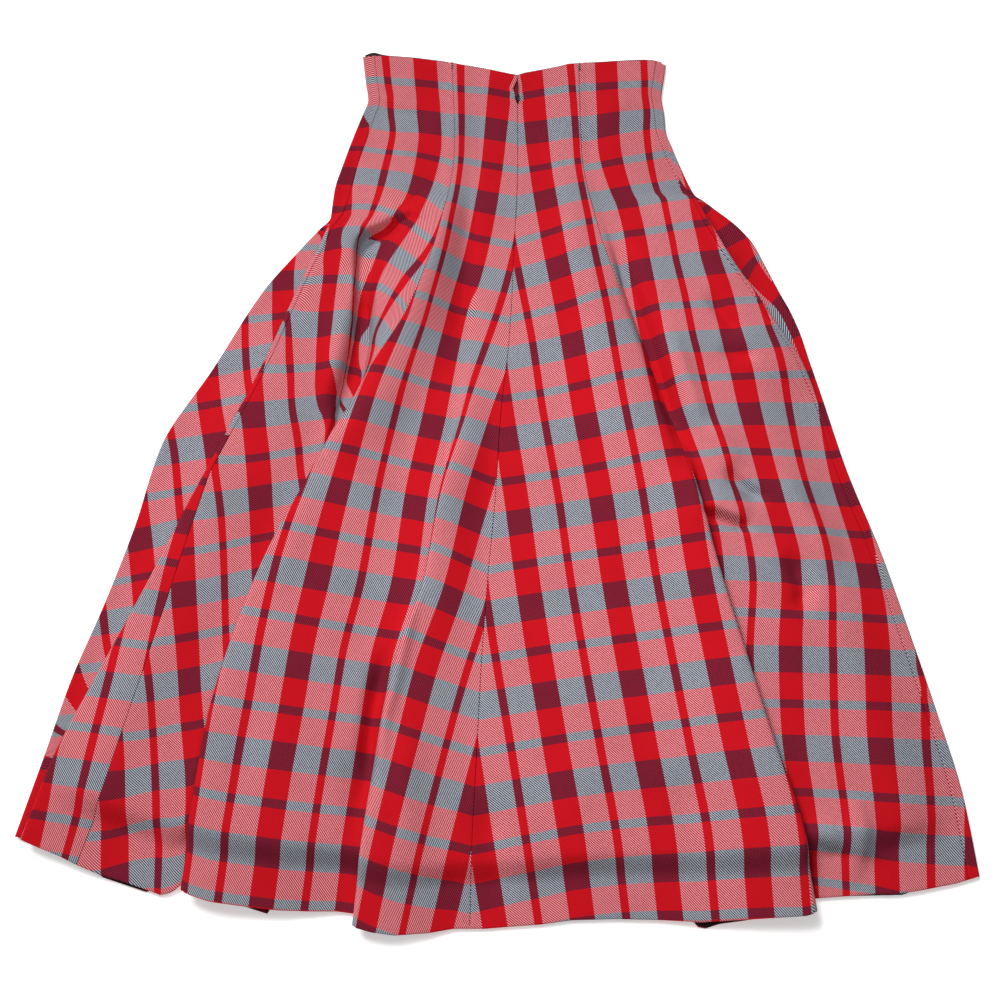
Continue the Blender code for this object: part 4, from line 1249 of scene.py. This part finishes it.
@dataclass
class Zip:
    """Concealed zip at the top of the centre-back seam."""

    across: float = 20.2                                    # x of the seam
    tape: tuple[float, float, float] = (7.85, 44.0, 0.4)    # width, length and wall of each tape
    tape_top: float = 501.2
    tape_height: float = 2.85
    tape_gap: float = 0.3
    coil_wire: float = 0.16
    coil_radius: float = 0.6
    coil_pitch: float = 1.2
    coil_span: tuple[float, float] = (458.5, 472.4)
    coil_lift: float = 0.72                                 # middle of the coil over the tapes
    coil_shape: tuple[float, float, float] = (1.7, 0.62, 1.0)   # how a round loop is flattened
    coil_lean: float = 14.0                                 # degrees
    body: tuple[float, float, float] = (3.0, 6.6, 1.3)      # slider without its crown
    body_centre: tuple[float, float] = (476.4, 4.15)        # y and height
    body_tail: float = 0.72                                 # share of its width at the lower end
    body_rim: float = 0.45
    ear: tuple[float, float, float] = (0.5, 1.4, 1.9)
    ear_reach: float = 1.3
    ear_base: float = 4.8
    ear_round: float = 0.55
    hinge: tuple[float, float] = (479.0, 6.0)               # y and height of the pull tab's axis
    pin_radius: float = 0.30
    barrel: tuple[float, float, float] = (1.8, 0.80, 0.36)  # length, radius and wall
    neck: tuple[float, float, float] = (1.8, 1.05, 0.64)
    neck_flare: float = 1.3
    tab: tuple[float, float, float] = (3.4, 4.6, 0.7)
    tab_drop: float = 1.6                                   # from the axis down to the tab
    tab_round: float = 0.95
    tab_rim: float = 0.5
    tab_dish: float = 0.12
    overlap: float = 0.1                                    # how far the neck reaches into the tab

    def build(self) -> None:
        """Makes the tapes, the coil, the slider and its pull tab."""
        tape = PlainCloth("zip_tape_red", linear(112, 24, 38), 3.2).make()
        nylon = Lacquer("coil_nylon", linear(96, 20, 34), 0.45, 0.0).make()
        metal = Lacquer("zip_lacquer", linear(9, 11, 18), 0.42, 0.1).make()
        self._finish(self._tapes(), "zip_tape", "skirt", "zip_tape", tape)
        self._finish(self._coil(), None, "skirt", "zip_tape", nylon)
        self._finish(self._slider(), "zip_slider", "skirt", "zip_metal", metal)
        self._finish(self._pull(), "zip_pull", "pull_tab", "zip_metal", metal)

    @staticmethod
    def _finish(piece: bpy.types.Object, node: Optional[str], body: str, slot: str,
                material: bpy.types.Material) -> None:
        """Gives a piece its material and its place in the frame.

        Args:
            piece: the piece.
            node: the CAD node that it stands for, if any.
            body: the body that it moves with.
            slot: the record's material slot, which is not used here.
            material: its finish.
        """
        piece.data.materials.clear()
        piece.data.materials.append(material)
        if node:
            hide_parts(node)
        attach(piece, body)
        LOG.info("%s: %d faces", piece.name, len(piece.data.polygons))

    @staticmethod
    def _start(name: str) -> bpy.types.Object:
        """Names the new primitive and puts its place and size into its mesh."""
        piece = bpy.context.object
        piece.name = piece.data.name = name
        bpy.ops.object.transform_apply(location=True, rotation=True, scale=True)
        return piece

    def _block(self, name: str, centre: tuple[float, float, float],
               size: tuple[float, float, float]) -> bpy.types.Object:
        """Adds a cube at its size and place in millimetres of the plan."""
        bpy.ops.object.select_all(action="DESELECT")
        bpy.ops.mesh.primitive_cube_add(size=1.0, location=to_metres(centre),
                                        scale=[side * MM for side in size])
        return self._start(name)

    def _rod(self, name: str, centre: tuple[float, float, float], radius: float, length: float,
             ends: str = "NGON") -> bpy.types.Object:
        """Adds a cylinder along X."""
        bpy.ops.object.select_all(action="DESELECT")
        bpy.ops.mesh.primitive_cylinder_add(vertices=24, radius=radius * MM, depth=length * MM,
                                            end_fill_type=ends, location=to_metres(centre),
                                            rotation=(0, 0.5 * math.pi, 0))
        return self._start(name)

    @staticmethod
    def _pick(piece: bpy.types.Object, kind: str, chosen: Callable) -> None:
        """Enters edit mode with only the chosen faces or edges selected.

        Args:
            piece: the piece to edit.
            kind: "FACE" or "EDGE".
            chosen: says of each face or edge whether it is wanted.
        """
        bpy.ops.object.select_all(action="DESELECT")
        piece.select_set(True)
        bpy.context.view_layer.objects.active = piece
        bpy.ops.object.mode_set(mode="EDIT")
        bpy.ops.mesh.select_mode(type=kind)
        bpy.ops.mesh.select_all(action="DESELECT")
        form = bmesh.from_edit_mesh(piece.data)
        for part in (form.faces if kind == "FACE" else form.edges):
            if chosen(part):
                part.select_set(True)
        bmesh.update_edit_mesh(piece.data)

    def _soften(self, piece: bpy.types.Object, width: float) -> None:
        """Rounds the sharp edges a little and shades the piece smooth."""
        bpy.ops.object.select_all(action="DESELECT")
        piece.select_set(True)
        bpy.context.view_layer.objects.active = piece
        edges = piece.modifiers.new("soft_edges", "BEVEL")
        edges.width, edges.segments = width * MM, 2
        edges.limit_method, edges.angle_limit = "ANGLE", math.radians(40)
        bpy.ops.object.modifier_apply(modifier=edges.name)
        bpy.ops.object.shade_smooth_by_angle(angle=math.radians(35))

    @staticmethod
    def _join(pieces: Sequence[bpy.types.Object], name: str) -> bpy.types.Object:
        """Joins pieces into one object."""
        bpy.ops.object.select_all(action="DESELECT")
        for piece in pieces:
            piece.select_set(True)
        bpy.context.view_layer.objects.active = pieces[0]
        bpy.ops.object.join()
        pieces[0].name = pieces[0].data.name = name
        return pieces[0]

    def _tapes(self) -> bpy.types.Object:
        """Makes the two woven tapes, each with a raised selvedge beside the coil."""
        width, length, wall = self.tape
        down = np.linspace(0, length, 60)
        halves = []
        for side in (-1, 1):
            over = np.linspace(0, width, 12)
            across, along = np.meshgrid(over, down)
            lift = 0.12 * np.exp(-(((across - 0.6) / 0.5) ** 2)) + 0.05 * np.sin(along / 5.0)
            points = np.stack([self.across + side * (0.5 * self.tape_gap + across),
                               self.tape_top - along, self.tape_height + lift], -1)
            points = points if side > 0 else points[:, ::-1]
            halves.append(grid_piece("tape", points, points[..., :2].copy()))
        pair = self._join(halves, "zip_tapes")
        shell = pair.modifiers.new("wall", "SOLIDIFY")
        shell.thickness, shell.offset = wall * MM, 0.0
        return pair

    def _coil(self) -> bpy.types.Object:
        """Makes the closed coil below the slider, loop by loop."""
        low, high = self.coil_span
        height = self.tape_height + self.coil_lift
        bpy.ops.object.select_all(action="DESELECT")
        bpy.ops.mesh.primitive_torus_add(major_segments=18, minor_segments=6,
                                         major_radius=self.coil_radius * MM,
                                         minor_radius=self.coil_wire * MM,
                                         location=to_metres((self.across, low, height)),
                                         rotation=(0.5 * math.pi, 0, 0))
        bpy.context.object.scale = self.coil_shape
        loop = self._start("coil_loop")
        self._pick(loop, "FACE", lambda face: True)
        place = to_metres((self.across, low, height))
        bpy.ops.transform.rotate(value=math.radians(self.coil_lean), orient_axis="Z",
                                 center_override=place)
        bpy.ops.object.mode_set(mode="OBJECT")
        loop.data.shade_smooth()
        loops = [loop]
        for k in range(1, int((high - low) / self.coil_pitch) + 1):
            copy = loop.copy()
            copy.data = loop.data.copy()
            for vert in copy.data.vertices:
                vert.co.y += k * self.coil_pitch * MM
            bpy.context.scene.collection.objects.link(copy)
            loops.append(copy)
        return self._join(loops, "zip_coil")

    def _slider(self) -> bpy.types.Object:
        """Makes the slider with its crown, the two ears and the pin that carries the pull tab."""
        y, z = self.body_centre
        body = self._block("slider", (self.across, y, z), self.body)
        tail = float(to_metres((0, y - 0.5 * self.body[1], 0))[1])
        self._pick(body, "FACE", lambda face: face.calc_center_median().y < tail + 1e-5)
        place = to_metres((self.across, y - 0.5 * self.body[1], z))
        bpy.ops.transform.resize(value=(self.body_tail, 1, 1), center_override=place)
        bpy.ops.object.mode_set(mode="OBJECT")
        self._pick(body, "FACE", lambda face: face.normal.z > 0.9)
        bpy.ops.mesh.inset(thickness=self.body_rim * MM, depth=0.2 * MM)
        bpy.ops.object.mode_set(mode="OBJECT")
        self._soften(body, 0.14)
        hinge_y, hinge_z = self.hinge
        ears = []
        for side in (-1, 1):
            ear = self._block("ear", (self.across + side * self.ear_reach, hinge_y,
                                      self.ear_base + 0.5 * self.ear[2]), self.ear)
            top = 0.5 * self.ear[2] * MM
            middle = (self.ear_base + 0.5 * self.ear[2]) * MM
            self._pick(ear, "EDGE", lambda edge: all(
                v.co.z > middle + top - 1e-5 for v in edge.verts)
                and abs(edge.verts[0].co.y - edge.verts[1].co.y) < 1e-6)
            bpy.ops.mesh.bevel(offset=self.ear_round * MM, segments=5)
            bpy.ops.object.mode_set(mode="OBJECT")
            self._soften(ear, 0.08)
            ears.append(ear)
        pin = self._rod("pin", (self.across, hinge_y, hinge_z), self.pin_radius,
                        2 * self.ear_reach + self.ear[0] + 0.2)
        self._pick(pin, "FACE", lambda face: abs(face.normal.x) > 0.9)
        bpy.ops.mesh.inset(thickness=0.1 * MM, depth=0.05 * MM, use_individual=True)
        bpy.ops.object.mode_set(mode="OBJECT")
        self._soften(pin, 0.04)
        return self._join([body, *ears, pin], "zip_slider_body")

    def _pull(self) -> bpy.types.Object:
        """Makes the pull tab: a dished tab with round corners, its neck and the barrel."""
        y, z = self.hinge
        length = self.neck[1]
        tab_top = y - self.tab_drop
        tab = self._block("tab", (self.across, tab_top - 0.5 * self.tab[1], z), self.tab)
        self._pick(tab, "EDGE", lambda edge: abs(edge.verts[0].co.z - edge.verts[1].co.z) > 1e-5)
        bpy.ops.mesh.bevel(offset=self.tab_round * MM, segments=6)
        bpy.ops.object.mode_set(mode="OBJECT")
        self._pick(tab, "FACE", lambda face: abs(face.normal.z) > 0.9)
        bpy.ops.mesh.inset(thickness=self.tab_rim * MM, depth=-self.tab_dish * MM,
                           use_individual=True)
        bpy.ops.object.mode_set(mode="OBJECT")
        self._soften(tab, 0.08)
        foot = tab_top - self.overlap
        neck = self._block("neck", (self.across, foot + 0.5 * length, z), self.neck)
        self._pick(neck, "FACE", lambda face: face.normal.y < -0.9)
        bpy.ops.transform.resize(value=(self.neck_flare, 1, 1),
                                 center_override=to_metres((self.across, foot, z)))
        bpy.ops.object.mode_set(mode="OBJECT")
        self._soften(neck, 0.08)
        barrel = self._rod("barrel", (self.across, y, z), self.barrel[1], self.barrel[0], "NOTHING")
        wall = barrel.modifiers.new("bore", "SOLIDIFY")
        wall.thickness, wall.offset = self.barrel[2] * MM, -1.0
        bpy.ops.object.modifier_apply(modifier=wall.name)
        self._soften(barrel, 0.06)
        return self._join([tab, neck, barrel], "zip_pull_tab")


@dataclass
class Studio:
    """Pale floor, soft light and the camera."""

    tilt: float = 16.0
    distance: float = 1446.0
    focal: float = 1376.0           # in pixels of a picture 1000 wide
    sensor: float = 36.0
    clip: tuple[float, float] = (0.05, 30.0)
    floor_size: float = 12.0
    floor_drop: float = 0.0005      # keeps the floor just clear of the cloth
    floor_colour: Colour = (0.95, 0.95, 0.95)
    floor_glow: float = 0.42        # light of the floor's own, which keeps the shadows on it soft
    # name, direction, spread in degrees and strength
    suns: tuple[tuple[str, tuple[float, float, float], float, float], ...] = (
        ("key", (-0.44, 0.62, 0.80), 22.0, 2.3),
        ("fill", (-0.80, -0.50, 0.62), 60.0, 0.4))
    # place, size in metres and strength
    panel: tuple[tuple[float, float, float], float, float] = ((-0.05, 0.0, 0.8), 0.5, 3.15)
    room: float = 0.085
    sun_distance: float = 2.5       # where the suns hang, which has no effect on their light

    def build(self) -> None:
        """Builds the floor, the lights and the camera."""
        bpy.ops.object.select_all(action="DESELECT")
        bpy.ops.mesh.primitive_plane_add(size=self.floor_size, location=(0, 0, -self.floor_drop))
        floor = bpy.context.object
        floor.name = "floor"
        finish = Finish("pale_floor", 0.9)
        finish.shader.inputs["Base Color"].default_value = (*self.floor_colour, 1)
        finish.shader.inputs["Emission Color"].default_value = (1, 1, 1, 1)
        finish.shader.inputs["Emission Strength"].default_value = self.floor_glow
        floor.data.materials.append(finish.material)
        tilt = math.radians(self.tilt)
        away = np.array((0, -math.sin(tilt), math.cos(tilt))) * self.distance
        place = to_metres(away)
        data = bpy.data.cameras.new("camera")
        data.lens = self.focal * self.sensor / 1000
        data.sensor_width = self.sensor
        data.clip_start, data.clip_end = self.clip
        camera = bpy.data.objects.new("camera", data)
        camera.location = place
        camera.rotation_euler = (tilt, 0, 0)
        bpy.context.scene.collection.objects.link(camera)
        bpy.context.scene.camera = camera
        for name, way, spread, power in self.suns:
            lamp = bpy.data.lights.new(name, "SUN")
            lamp.angle, lamp.energy = math.radians(spread), power
            self._hang(lamp, [self.sun_distance * c for c in way], way)
        spot, size, power = self.panel
        lamp = bpy.data.lights.new("panel", "AREA")
        lamp.size, lamp.energy = size, power
        self._hang(lamp, spot, (0.0, 0.0, 1.0))
        world = bpy.data.worlds.new("soft_room")
        world.use_nodes = True
        world.node_tree.nodes["Background"].inputs[0].default_value = (1, 1, 1, 1)
        world.node_tree.nodes["Background"].inputs[1].default_value = self.room
        bpy.context.scene.world = world
        bpy.context.scene.view_settings.view_transform = "Standard"

    @staticmethod
    def _hang(lamp: bpy.types.Light, place: Sequence[float], way: Sequence[float]) -> None:
        """Hangs a lamp at its place, shining from the given way."""
        obj = bpy.data.objects.new(lamp.name, lamp)
        obj.location = place
        obj.rotation_euler = (-Vector(way)).to_track_quat("-Z", "Y").to_euler()
        bpy.context.scene.collection.objects.link(obj)


def main() -> None:
    """Builds the classes in order."""
    logging.basicConfig(level=logging.INFO)
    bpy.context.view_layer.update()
    cloth = ClothPieces()
    cloth.build()
    cloth.dress()
    Facings().build()
    Zip().build()
    Studio().build()


if __name__ == "__main__":
    main()
